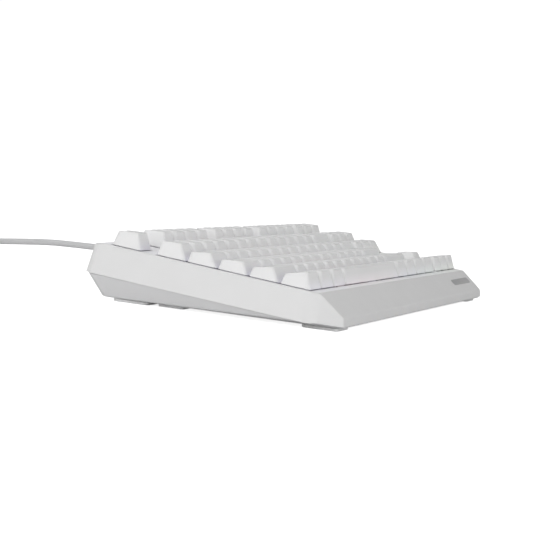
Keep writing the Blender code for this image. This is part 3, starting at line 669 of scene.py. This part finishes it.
def cylinder(bm, start, end, radius):
    start, end = Vector(start), Vector(end)
    axis = end - start
    matrix = Matrix.Translation((start + end) / 2) @ axis.to_track_quat("Z", "Y").to_matrix().to_4x4()
    bmesh.ops.create_cone(
        bm, cap_ends=True, segments=32, radius1=radius, radius2=radius, depth=axis.length, matrix=matrix
    )
    return bm


def box(bm, low, high):
    low, high = Vector(low), Vector(high)
    matrix = Matrix.Translation((low + high) / 2) @ Matrix.Diagonal((*(high - low), 1.0))
    bmesh.ops.create_cube(bm, size=1.0, matrix=matrix)
    return bm


def smooth_route(route, step):
    """Points about a step apart on a Catmull-Rom curve through the route."""
    points = [Vector(p) for p in route]
    padded = [2 * points[0] - points[1], *points, 2 * points[-1] - points[-2]]
    result = []
    for a, b, c, d in zip(padded, padded[1:], padded[2:], padded[3:]):
        pieces = max(1, round((c - b).length / step))
        for i in range(pieces):
            t = i / pieces
            curved = (2 * a - 5 * b + 4 * c - d) * t**2 + (3 * b - a - 3 * c + d) * t**3
            result.append(0.5 * (2 * b + (c - a) * t + curved))
    return result + [points[-1]]


def ease(t):
    t = min(1.0, max(0.0, t))
    return t * t * (3 - 2 * t)


def tube_mesh(path, radius, segments, pitch):
    """A closed tube along a path. Its UV map runs along it in pitches and once round it."""
    bm = bmesh.new()
    uv_layer = bm.loops.layers.uv.new("UVMap")
    rings = []
    along = [0.0]
    normal = Vector((0, 0, 1))
    for i, point in enumerate(path):
        ahead = path[min(i + 1, len(path) - 1)]
        behind = path[max(i - 1, 0)]
        tangent = (ahead - behind).normalized()
        normal = (normal - tangent * normal.dot(tangent)).normalized()
        side = tangent.cross(normal)
        angles = [math.tau * k / segments for k in range(segments)]
        rings.append([point + radius * (math.cos(a) * normal + math.sin(a) * side) for a in angles])
        if i:
            along.append(along[-1] + (point - path[i - 1]).length / pitch)
    rows = add_rows(bm, rings)
    for index, face in enumerate(bridge(bm, rows)):
        i, k = divmod(index, segments)
        for loop, (row, around) in zip(face.loops, ((i, k), (i, k + 1), (i + 1, k + 1), (i + 1, k))):
            loop[uv_layer].uv = (along[row], around / segments)
    bm.faces.new(reversed(rows[0]))
    bm.faces.new(rows[-1])
    return bm


# Shells

def on_parting_line(point):
    return abs(point.z - PARTING_HEIGHT - PARTING_SLOPE * point.y) < 0.5 * MM


def top_case_softness(a, b):
    """Rounding of the upper shell's edges: crisp round the sloping front, widest on the front uprights."""
    lower_ends = on_parting_line(a) + on_parting_line(b)
    if lower_ends == 2:
        return PARTING_ROUNDING
    if min(a.y, b.y) < -75 * MM:
        return 0.7 * MM
    if lower_ends == 0:
        return 0.9 * MM
    return 1.2 * MM if a.y + b.y > 120 * MM else TOP_ROUNDING


def bottom_case_softness(a, b):
    lower_ends = on_parting_line(a) + on_parting_line(b)
    return PARTING_ROUNDING if lower_ends == 2 else BOTTOM_ROUNDING


def opening_cutter(bm, left, right, front, back):
    """An opening with rounded corners and a small chamfer round its top edge."""
    x0, x1 = field_x(left), field_x(right)
    half_x, half_y = (x1 - x0) / 2, (back - front) * UNIT / 2
    levels = []
    heights = (-DECK_THICKNESS - 2 * MM, -0.35 * MM, 0.05 * MM, 15 * MM)
    for height, grow in zip(heights, (0.2, 0.2, 0.6, 0.6)):
        levels.append((height, half_x + grow * MM, half_y + grow * MM, (0.8 + grow) * MM))
    stack(bm, levels, ((x0 + x1) / 2, (front + back) * UNIT / 2))


def make_top_case(material):
    """Flanks, sloping front and thick deck, open underneath, with the key openings."""
    outside = [
        key_plane_point(174.5 * MM, -DECK_FRONT),
        key_plane_point(RIM_HALF_WIDTH, 5.0 * MM),
        key_plane_point(RIM_HALF_WIDTH, 124.5 * MM),
        (RIM_HALF_WIDTH, *mm(72.8, 32.7)),
        mm(173.8, 75.8, 32.6),
        (*mm(172.2, -78.1), LIP_TOP),
        parting_point(172.4 * MM, -HALF_DEPTH),
        parting_point(HALF_WIDTH, -63.6 * MM),
        parting_point(HALF_WIDTH, 74.4 * MM),
        parting_point(177.0 * MM, HALF_DEPTH),
    ]
    ceiling = -DECK_THICKNESS
    inside = [
        key_plane_point(*mm(175.2, -9.8), ceiling),
        key_plane_point(*mm(175.4, 125.5), ceiling),
        key_plane_point(*mm(170.5, 130.2), ceiling),
        mm(169.5, -75.6, 7.2),
        parting_point(*mm(170.0, -76.0, 4)),
        parting_point(*mm(178.6, -62.5, 4)),
        parting_point(*mm(178.6, 72.6, 4)),
        parting_point(*mm(174.9, 76.1, 4)),
    ]
    bosses, bores, openings, arrow = (bmesh.new() for _ in range(4))
    for x, y in SCREWS:
        deck = key_plane_point(x, y - FIELD_FRONT_Y, ceiling).z
        cylinder(bosses, (x, y, LOWER_BOSS_TOP + GAP), (x, y, deck + 1.2 * MM), UPPER_BOSS_RADIUS)
        cylinder(bores, (x, y, LOWER_BOSS_TOP - 2 * MM), (x, y, SCREW_BORE_TOP), SCREW_RADIUS + GAP)
    cylinder(bores, (0, 68 * MM, CABLE_EXIT[2]), (0, 82 * MM, CABLE_EXIT[2]), OUTLET_RADIUS)
    for opening in DECK_OPENINGS:
        opening_cutter(openings, *opening)
    opening_cutter(arrow, *ARROW_OPENING)
    steps = [
        ("DIFFERENCE", hull(both_sides(inside))),
        ("UNION", bosses),
        ("DIFFERENCE", openings, KEY_PLANE),
        ("DIFFERENCE", arrow, KEY_PLANE),
        ("DIFFERENCE", bores),
    ]
    shell = shaped(hull(both_sides(outside), top_case_softness, TOP_ROUNDING), steps, TOP_ROUNDING)
    new_object("upper_shell", shell, material, None, ["top_case"], smooth=30, flat=True)


def make_bottom_case(material):
    """Tray with screw bosses, foot pockets and the lower half of the cable outlet."""
    outside = [
        parting_point(*mm(172.0, -77.9), GAP),
        parting_point(*mm(180.2, -63.4), GAP),
        parting_point(*mm(180.2, 73.6), GAP),
        parting_point(*mm(176.2, 77.4), GAP),
        (*mm(169.8, -77.2), UNDERSIDE),
        (*mm(171.8, -65.0), UNDERSIDE),
        (*mm(171.8, 67.4), UNDERSIDE),
        (*mm(168.6, 70.2), UNDERSIDE),
    ]
    floor = UNDERSIDE + WALL
    inside = [
        (*mm(170.6, -55.0), floor),
        (*mm(170.6, 63.5), floor),
        (*mm(165.2, 68.8), floor),
        parting_point(*mm(178.0, -55.0, -6)),
        parting_point(*mm(178.6, 71.0, -6)),
        parting_point(*mm(173.2, 76.4, -6)),
    ]
    added, holes, bores = (bmesh.new() for _ in range(3))
    for x, y in SCREWS:
        cylinder(added, (x, y, 3 * MM), (x, y, LOWER_BOSS_TOP), LOWER_BOSS_RADIUS)
    pocket = FOOT_HALF_WIDTH + 0.5 * MM
    levels = [
        (0, pocket + 0.5 * MM, *mm(11.4, 1.5)),
        (2.5 * MM, pocket, *mm(10.9, 1)),
        (6.1 * MM, pocket, *mm(10.9, 1)),
    ]
    for side in (-1, 1):
        low, high = sorted((side * 145.2 * MM, side * 171.6 * MM))
        box(added, (low, *mm(14.7, 3)), (high, *mm(40.5, 8.1)))
        stack(holes, levels, (side * FOOT_CENTRE_X, POCKET_CENTRE_Y))
        inner, outer = side * (FOOT_INNER_X - 3.2 * MM), side * (FOOT_OUTER_X + 2.2 * MM)
        cylinder(bores, (inner, *FOOT_PIVOT), (outer, *FOOT_PIVOT), 1.6 * MM)
    for x, y in SCREWS:
        cylinder(holes, (x, y, 0), (x, y, 4.2 * MM), SCREW_HEAD_RADIUS + 0.4 * MM)
        cylinder(bores, (x, y, 3 * MM), (x, y, LOWER_BOSS_TOP + 1 * MM), SCREW_RADIUS + GAP)
    cylinder(bores, (0, 64 * MM, CABLE_EXIT[2]), (0, 82 * MM, CABLE_EXIT[2]), OUTLET_RADIUS)
    steps = [
        ("DIFFERENCE", hull(both_sides(inside))),
        ("UNION", added),
        ("DIFFERENCE", holes),
        ("DIFFERENCE", bores),
    ]
    shell = shaped(hull(both_sides(outside), bottom_case_softness, BOTTOM_ROUNDING), steps, BOTTOM_ROUNDING)
    new_object("lower_shell", shell, material, None, ["bottom_case"], smooth=30, flat=True)


def make_badge(material):
    """Plain inlay near the right end of the sloping front."""
    top = key_plane_point(0, -DECK_FRONT)
    up_slope = (top - Vector((0, -78.1 * MM, LIP_TOP))).normalized()
    right = Vector((1, 0, 0))
    centre = top - up_slope * BADGE_DROP + right * BADGE_X
    turn = Matrix((right, up_slope, right.cross(up_slope))).transposed().to_4x4()
    bm = bmesh.new()
    stack(bm, scaled([(-0.5, 24, 2.5, 2.5), (0.1, 24, 2.5, 2.5), (0.2, 23.8, 2.3, 2.3)]), corner=8)
    new_object("front_badge", bm, material, Matrix.Translation(centre) @ turn)


def make_screws(material):
    """Pan heads with a cross recess."""
    head = SCREW_HEAD_RADIUS
    profile = [
        (2.3 * MM, head - 0.5 * MM),
        (2.45 * MM, head - 0.15 * MM),
        (2.8 * MM, head),
        (3.9 * MM, head),
        (3.9 * MM, SCREW_RADIUS),
        (12.0 * MM, SCREW_RADIUS),
        (13.0 * MM, 0.2 * MM),
    ]
    for number, (x, y) in enumerate(SCREWS, start=1):
        bm = bmesh.new()
        stack(bm, [(z, radius, radius, head) for z, radius in profile], corner=6)
        cuts = [box(bmesh.new(), mm(-a, -b, 1), mm(a, b, 3.3)) for a, b in ((1.3, 0.25), (0.25, 1.3))]
        screw = shaped(bm, [("DIFFERENCE", cut) for cut in cuts])
        place = Matrix.Translation((x, y, 0)) @ Matrix.Rotation(number, 4, "Z")
        new_object(f"screw_{number}", screw, material, place, [f"case_screw_{number}"])


# Pads and tilt feet

def make_pads(material):
    """Rubber pads with soft edges and a shallow panel in the face that they stand on."""
    steps = scaled([(0.25, 2.2, 1.5), (0.0, 1.8, 1.6), (0.0, 0.6, 2.4), (0.18, 0.18, 2.8), (0.6, 0, 3)])
    steps.append((PAD_HEIGHT, 0, 3 * MM))
    for side, label in ((-1, "left"), (1, "right")):
        for name, (front, back) in PAD_SPANS.items():
            half_y = (back - front) / 2
            levels = [(z, PAD_HALF_WIDTH - inset, half_y - inset, radius) for z, inset, radius in steps]
            bm = bmesh.new()
            stack(bm, levels, (side * PAD_CENTRE_X, (front + back) / 2), corner=6)
            piece, node = f"{name}_rubber_{label}", f"{name}_{label}"
            new_object(piece, bm, material, replaces=[node], flat=True)


def make_tilt_feet(plastic, tip_rubber):
    """Short legs on pins, folded into their pockets, with grip lines and a rubber strip on the free end."""
    half = FOOT_HALF_WIDTH
    profile = (
        (-FOOT_LENGTH, FOOT_BOTTOM),
        (-FOOT_LENGTH, FOOT_TOP - 1.2 * MM),
        (-FOOT_LENGTH + 1.5 * MM, FOOT_TOP),
        (0, FOOT_TOP),
        (0, FOOT_BOTTOM),
    )
    tip = scaled([(0, 1.4, 1.0, 0.9), (0.25, 1.4, 1.0, 0.9), (0.45, 1.6, 0.8, 0.7)])
    for side, label in ((-1, "left"), (1, "right")):
        place = Matrix.Translation((side * FOOT_CENTRE_X, *FOOT_PIVOT))
        leg = hull([(x, y, z) for x in (-half, half) for y, z in profile], lambda a, b: 0.5 * MM, 0.5 * MM)
        barrel = cylinder(bmesh.new(), (-half, 0, 0), (half, 0, 0), 1.7 * MM)
        pin_end = half + 1.9 * MM
        pins = cylinder(bmesh.new(), (-pin_end, 0, 0), (pin_end, 0, 0), 1.2 * MM)
        lines = bmesh.new()
        edge = half - 3 * MM
        for i in range(4):
            y = -5.5 * MM - i * 1.8 * MM
            box(lines, (-edge, y, FOOT_BOTTOM - MM), (edge, y + 0.8 * MM, FOOT_BOTTOM + 0.5 * MM))
        edge = half - 2 * MM
        low = (-edge, -FOOT_LENGTH + 2 * MM, FOOT_TOP - 1.5 * MM)
        recess = box(bmesh.new(), low, (edge, *mm(-3, 5)))
        steps = [
            ("UNION", barrel, place),
            ("UNION", pins, place),
            ("DIFFERENCE", lines, place),
            ("DIFFERENCE", recess, place),
        ]
        foot = shaped(leg, steps, 0.5 * MM, place)
        body = f"tilt_foot_{label}"
        new_object(f"{body}_leg", foot, plastic, place, [body], body, smooth=30, flat=True)
        strip = bmesh.new()
        stack(strip, [(z, half - inset, depth, radius) for z, inset, depth, radius in tip])
        place = place @ Matrix.Translation((0, -FOOT_LENGTH + 0.2 * MM, -1.2 * MM))
        place = place @ Matrix.Rotation(math.pi / 2, 4, "X")
        new_object(f"{body}_strip", strip, tip_rubber, place, body=body)


# Keys

SYMBOLS = {
    "up": [[(-0.5, 0), (0, 0.5), (0.5, 0), (0.16, 0), (0.16, -0.5), (-0.16, -0.5), (-0.16, 0)]],
    "bar": [[(-0.5, -0.09), (0.5, -0.09), (0.5, 0.09), (-0.5, 0.09)]],
    "bars": [[(-0.4, y - 0.07), (0.4, y - 0.07), (0.4, y + 0.07), (-0.4, y + 0.07)] for y in (-0.3, 0, 0.3)],
}
ARROW_TURNS = {"up": 0, "left": 90, "down": 180, "right": 270}
RING_RADIUS = 0.42
RING_SECTION = ((1, -1), (1, 1), (0.66, 1), (0.66, -1))  # share of the radius, and level


def symbol_mesh(name):
    """A flat symbol as a thin solid: a ring, an arrow or bars."""
    bm = bmesh.new()
    if name == "ring":
        angles = [math.tau * i / 24 for i in range(24)]
        outer = [Vector((RING_RADIUS * math.cos(a), RING_RADIUS * math.sin(a), 0)) for a in angles]
        rows = add_rows(bm, [[p * share + Vector((0, 0, z)) for p in outer] for share, z in RING_SECTION])
        bridge(bm, rows + rows[:1])
    else:
        for outline in SYMBOLS["up" if name in ARROW_TURNS else name]:
            loft(bm, [[Vector((x, y, z)) for x, y in outline] for z in (-1, 1)])
        turn = Matrix.Rotation(math.radians(ARROW_TURNS.get(name, 0)), 3, "Z")
        bmesh.ops.rotate(bm, verts=bm.verts, matrix=turn)
    size = SYMBOL_SHARE * LEGEND_SIZE
    bmesh.ops.scale(bm, verts=bm.verts, vec=(size, size, LEGEND_THICKNESS))
    mesh = bpy.data.meshes.new("legend")
    bm.to_mesh(mesh)
    bm.free()
    return mesh


def character_mesh(text):
    curve = bpy.data.curves.new("legend", "FONT")
    curve.body = text
    curve.size = LEGEND_SIZE
    curve.resolution_u = 3
    curve.extrude = LEGEND_THICKNESS
    curve.align_x = curve.align_y = "CENTER"
    obj = link(bpy.data.objects.new("legend", curve))
    mesh = bpy.data.meshes.new_from_object(obj)
    bpy.data.objects.remove(obj)
    bpy.data.curves.remove(curve)
    return mesh


def inset(rectangle, amount):
    x0, x1, y0, y1 = rectangle
    return x0 + amount, x1 - amount, y0 + amount, y1 - amount


def make_cap(row, width, legend):
    """One cap as a hollow shell: flat rim, tapering walls, rounded top edge, dished top (crowned on the space
    bar) and the stem under it. Its origin is at the middle of the cell's front edge, in the key plane."""
    _, back, front, front_inset, back_inset = ROWS[row]
    half = width * UNIT / 2
    is_bar = width > LONGEST_KEY
    base_rectangle = (KEY_MARGIN - half, half - KEY_MARGIN, KEY_MARGIN, UNIT - KEY_MARGIN)
    top_rectangle = (KEY_SIDE_INSET - half, half - KEY_SIDE_INSET, front_inset, UNIT - back_inset)
    depth = UNIT - back_inset - front_inset
    sides = (max(6, round(6 * width)), 6)

    def top_height(x, s):
        share = (s - front_inset) / depth
        plane = front + (back - front) * share
        if is_bar:
            return plane - CROWN * (2 * share - 1) ** 2
        return plane - DISH * max(0.0, 1 - (x / top_rectangle[1]) ** 2)

    def base_ring(amount=0.0):
        radius = BASE_RADIUS - amount * 0.6
        points = rounded_rectangle(*inset(base_rectangle, amount), radius, sides)
        return [Vector((p.x, p.y, KEY_BASE)) for p in points]

    def top_ring(amount=0.0, drop=0.0):
        radius = max(0.4 * MM, TOP_RADIUS - amount)
        points = rounded_rectangle(*inset(top_rectangle, amount), radius, sides)
        return [Vector((p.x, p.y, top_height(p.x, p.y) - drop)) for p in points]

    base = base_ring()
    edge = top_ring()
    rings = [top_ring(KEY_WALL, KEY_CEILING), base_ring(KEY_WALL), base_ring(0.08 * MM)]
    for share in (0.01, 0.03, 0.3, 0.6, 0.85):
        rings.append([low.lerp(high, share) for low, high in zip(base, edge)])
    for i in range(6):
        angle = math.pi / 2 * i / 5
        drop = TOP_FILLET * (1 - math.sin(angle))
        ring = top_ring(TOP_FILLET * (1 - math.cos(angle)))
        rings.append([p + (b - e) * drop / (e.z - b.z) for p, b, e in zip(ring, base, edge)])
    rings += [top_ring(amount) for amount in mm(1.0, 2.0, 3.2, 4.4, 5.3)]
    bm = bmesh.new()
    loft(bm, rings)

    stems = [(0.0, STEM, STEM_BOTTOM)]
    if is_bar:
        for x in (-STABILIZER_SPACING / 2, STABILIZER_SPACING / 2):
            stems.append((x, STABILIZER_STEM, STABILIZER_STEM_BOTTOM))
    for x, size, bottom in stems:
        near, far = (UNIT - size) / 2, (UNIT + size) / 2
        outline = rounded_rectangle(x - size / 2, x + size / 2, near, far, 0.5 * MM)
        top = [Vector((p.x, p.y, top_height(p.x, p.y) - 0.8 * MM)) for p in outline]
        foot = [Vector((x + (p.x - x) * 0.94, p.y, bottom)) for p in outline]
        loft(bm, [foot, [p + Vector((0, 0, bottom + 0.3 * MM)) for p in outline], top])

    if legend:
        is_symbol = legend == "ring" or legend in SYMBOLS or legend in ARROW_TURNS
        mesh = symbol_mesh(legend) if is_symbol else character_mesh(legend)
        first, first_face = len(bm.verts), len(bm.faces)
        bm.from_mesh(mesh)
        bpy.data.meshes.remove(mesh)
        bm.verts.ensure_lookup_table()
        bm.faces.ensure_lookup_table()
        for vert in bm.verts[first:]:
            x = LEGEND_INSET - top_rectangle[1] + vert.co.x
            s = front_inset + depth * LEGEND_SHARE + vert.co.y
            vert.co = (x, s, top_height(x, s) + LEGEND_LIFT + vert.co.z)
        for face in bm.faces[first_face:]:
            face.material_index = 1
    return bm


def make_keys(materials):
    """Every cap as its own piece; the caps of a strip stand for their strip."""
    for body, row, left, width, legends in KEYS:
        for i, legend in enumerate(legends):
            name = f"{body}_cap" if len(legends) == 1 else f"{body}_cap_{i + 1}"
            bm = make_cap(row, width, legend)
            place = Matrix.Translation((field_x(left + (i + 0.5) * width), ROWS[row][0] * UNIT, 0))
            new_object(name, bm, materials, KEY_PLANE @ place, [body], body, smooth=50)


def make_switches(material):
    """Housings: body through the plate, flange, tapered top with an open well for the slider."""
    bm = bmesh.new()
    profile = [
        (-6.0, 3.1, 0.4), (-0.3, 3.1, 0.4), (-0.1, 3.3, 0.5), (-0.1, 3.9, 0.8), (-0.4, 4.4, 1.2),
        (-1.2, 4.7, 1.4), (-4.6, 6.3, 1.0), (-5.4, 6.7, 0.8), (-5.4, 7.3, 0.8), (-5.6, 7.5, 0.8),
        (-6.4, 7.5, 0.8), (-6.4, 6.6, 0.5), (-11.3, 6.6, 0.5),
    ]
    levels = scaled([(z, half, half, radius) for z, half, radius in profile])
    for _, row, left, width, legends in KEYS:
        for i in range(len(legends)):
            centre = (field_x(left + (i + 0.5) * width), (ROWS[row][0] + 0.5) * UNIT)
            stack(bm, levels, centre, corner=3)
    new_object("switches", bm, material, KEY_PLANE, ["switch_housings"], smooth=30)


# Cable

def coil_path():
    """Turns inwards near the desk, then outwards in the grooves between them, and the tail to the plug.
    Each turn is a circle that steps over to the next one in its last sixth."""
    cx, cy = COIL_CENTRE
    low = COIL_BASE + CABLE_DIAMETER / 2
    high = low + LAYER_RISE
    radii = [COIL_RADIUS + (2 - i) * CABLE_DIAMETER for i in range(TURNS_BELOW)]
    radii += [COIL_RADIUS + (i - 1.5) * CABLE_DIAMETER for i in range(TURNS_ABOVE)]
    heights = [low] * TURNS_BELOW + [high] * TURNS_ABOVE
    points = []
    for i in range(round(COIL_TURNS * TURN_POINTS) + 1):
        turn, share = divmod(i / TURN_POINTS, 1.0)
        turn = int(turn)
        blend = ease((share - STEP_START) / (1 - STEP_START))
        after = min(turn + 1, len(radii) - 1)
        radius = radii[turn] + (radii[after] - radii[turn]) * blend
        height = heights[turn] + (heights[after] - heights[turn]) * blend
        if turn >= TURNS_BELOW:
            height += CROSSING_RISE * math.sin(math.pi * blend)
        angle = math.tau * share
        points.append(Vector((cx + radius * math.cos(angle), cy + radius * math.sin(angle), height)))
    north = cy + radii[-1]
    tail = [
        (cx - 5.0 * MM, north + 0.1 * MM, high + 0.35 * MM),
        (cx - 12.0 * MM, north + 0.2 * MM, high + 0.6 * MM),
        (cx - 20.0 * MM, north + 0.1 * MM, high - 0.5 * MM),
        (cx - 28.0 * MM, north, PLUG_CENTRE_Z + 0.6 * MM),
        (cx - TAIL_LENGTH, north, PLUG_CENTRE_Z),
    ]
    return points + smooth_route([points[-1], *tail], 2 * MM)[1:]


def make_cable(material):
    """The whole cable as one tube, from the strain relief through the coil to the plug."""
    path = smooth_route(CABLE_ROUTE, 3 * MM) + coil_path()
    bm = tube_mesh(path, CABLE_DIAMETER / 2, 16, 4 * MM)
    replaced = ["usb_cable", "usb_cable_coil"]
    cable = new_object("usb_cable_sleeve", bm, material, replaces=replaced, smooth=80)


def make_strain_relief(material):
    """Grommet through the back wall and a tapered sleeve with ring grooves."""
    profile = [(0, 5.2), (1.8, 5.2), (1.8, 3.9), (9.3, 3.9), (9.3, 4.7), (9.6, 5), (10.7, 5), (11, 4.7)]
    for i in range(9):
        start, radius = 11.6 + i * 2.2, 4.1 - 1.1 * i / 9
        ring = ((0.0, 0.0), (1.2, 0.0), (1.4, 0.45), (2.0, 0.5))
        profile += [(start + along, radius - cut) for along, cut in ring]
    profile += [(32.0, 3.0), (33.0, 2.9), (33.2, 2.7)]
    bm = bmesh.new()
    stack(bm, scaled([(z, r, r, r) for z, r in profile]), corner=8)
    matrix = Matrix.Translation((0, 69.5 * MM, CABLE_EXIT[2])) @ Matrix.Rotation(math.radians(-90), 4, "X")
    new_object("strain_relief_sleeve", bm, material, matrix, ["cable_strain_relief"])


def make_cable_tie(material):
    """Strap round the bundle of turns."""
    inner = math.sqrt((COIL_RADIUS - 2.5 * CABLE_DIAMETER - GAP) ** 2 - STRAP_HALF_WIDTH**2)
    outer = COIL_RADIUS + 2.5 * CABLE_DIAMETER + GAP
    top = COIL_BASE + CABLE_DIAMETER + LAYER_RISE + GAP
    thick = COIL_BASE - GAP
    middle = (inner + outer) / 2
    half_length = (outer - inner) / 2
    opening = (-half_length, half_length, thick, top)
    inside, outside = (
        rounded_rectangle(*inset(opening, -grow), 2.4 * MM + grow, (12, 6), 8) for grow in (0.0, thick)
    )
    bm = bmesh.new()
    sections = []
    half = STRAP_HALF_WIDTH
    for p, q in zip(inside, outside):
        section = ((p, -half), (q, -half), (q, half), (p, half))
        sections.append([Vector((middle + corner.x, y, corner.y)) for corner, y in section])
    rows = add_rows(bm, sections)
    bridge(bm, rows + rows[:1])
    matrix = Matrix.Translation((*COIL_CENTRE, 0)) @ Matrix.Rotation(STRAP_ANGLE, 4, "Z")
    new_object("strap_round_coil", bm, material, matrix, ["cable_tie"], smooth=50)


def make_plug(rubber_material, metal, insulator):
    """USB plug beside the coil: moulded grip with rings, folded shell with two windows, and its tongue."""
    cx, cy = COIL_CENTRE
    north = cy + COIL_RADIUS + 1.5 * CABLE_DIAMETER
    back_x = cx - TAIL_LENGTH - GAP
    place = Matrix.Translation((back_x, north, PLUG_CENTRE_Z)) @ Matrix.Rotation(math.radians(-90), 4, "Y")
    neck = [(0.0, 2.6), (0.3, 2.8), (2.0, 3.0), (2.2, 2.6), (2.8, 2.6), (3.0, 3.1), (4.8, 3.2), (5.0, 2.8)]
    neck += [(5.6, 2.8), (5.8, 3.3), (8.8, 3.6)]
    levels = [(z, r, r, r) for z, r in neck]
    levels += [(9.0, 3.7, 6.4, 2.6), (9.6, 4.1, 7.2, 2.0), (10.6, 4.2, 7.5, 1.6)]
    ridge, groove = (4.2, 7.5, 1.6), (3.9, 7.2, 1.5)
    for i in range(6):
        z = 13 + i * 1.5
        levels += [(z, *ridge), (z + 0.25, *groove), (z + 0.7, *groove), (z + 0.95, *ridge)]
    levels += [(29.5, *ridge), (30.6, 4.1, 7.4, 1.6), (31.0, 3.8, 7.1, 1.6)]
    grip = bmesh.new()
    stack(grip, scaled(levels), corner=6, sides=(2, 4))
    new_object("plug_grip", grip, rubber_material, place, ["usb_plug"])

    shell_levels = [
        (31.3, 2.25, 6.0, 0.6), (42.9, 2.25, 6.0, 0.6), (43.3, 2.15, 5.9, 0.55),
        (43.3, 2.0, 5.75, 0.4), (43.1, 1.95, 5.7, 0.35), (32.4, 1.95, 5.7, 0.35),
    ]
    shell, windows, tongue = (bmesh.new() for _ in range(3))
    stack(shell, scaled(shell_levels))
    for y in mm(-2.9, 2.9):
        box(windows, (1 * MM, y - 1.2 * MM, 36.8 * MM), (4 * MM, y + 1.2 * MM, 39.2 * MM))
    shell = shaped(shell, [("DIFFERENCE", windows)])
    new_object("plug_shell", shell, metal, place, ["usb_plug_shell"])

    tongue_levels = [(32.0, 0.9, 5.5, 0.2), (42.3, 0.9, 5.5, 0.2), (42.7, 0.6, 5.2, 0.2)]
    stack(tongue, scaled(tongue_levels), (-0.9 * MM, 0))
    new_object("plug_tongue", tongue, insulator, place)


# Assembly

make_camera()
bpy.context.scene.view_settings.view_transform = "Standard"
make_sky()
make_softboxes()
make_floor()

lower_plastic = moulded("lower_shell", (0.77, 0.77, 0.775), 0.52, 0.30 * MM, 0.025 * MM).material
pad_material = rubber("pad_rubber", (0.84,) * 3, 0.75)
relief_material = rubber("cable_rubber", (0.72, 0.72, 0.73), 0.6)
plated_steel = brushed("plated_steel", (0.75, 0.75, 0.76), 0.22, 2)
plug_insulator = moulded("plug_insulator", (0.70, 0.70, 0.71), 0.4, 0.5 * MM, 0.01 * MM).material

make_top_case(shell_plastic())
make_bottom_case(lower_plastic)
make_badge(moulded("badge_grey", (0.40, 0.40, 0.405), 0.4, 0.3 * MM, 0.01 * MM).material)
make_screws(brushed("screw_steel", (0.60, 0.60, 0.62), 0.32, 2))
make_pads(pad_material)
make_tilt_feet(lower_plastic, pad_material)
make_keys([keycap_plastic(), ink()])
make_switches(moulded("switch_shell", (0.75, 0.75, 0.76), 0.35, 0.5 * MM, 0.01 * MM).material)
make_strain_relief(relief_material)
make_cable_tie(woven("tie_strap", (0.12,) * 3))
make_plug(relief_material, plated_steel, plug_insulator)
make_cable(braid())
for node, finish in (
    ("switch_plate", lit_plate()),
    ("circuit_board", circuit_laminate()),
    ("space_bar_stabilizer", brushed("wire_steel", (0.62, 0.62, 0.64), 0.3, 0)),
):
    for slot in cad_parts[node].material_slots:
        slot.material = finish
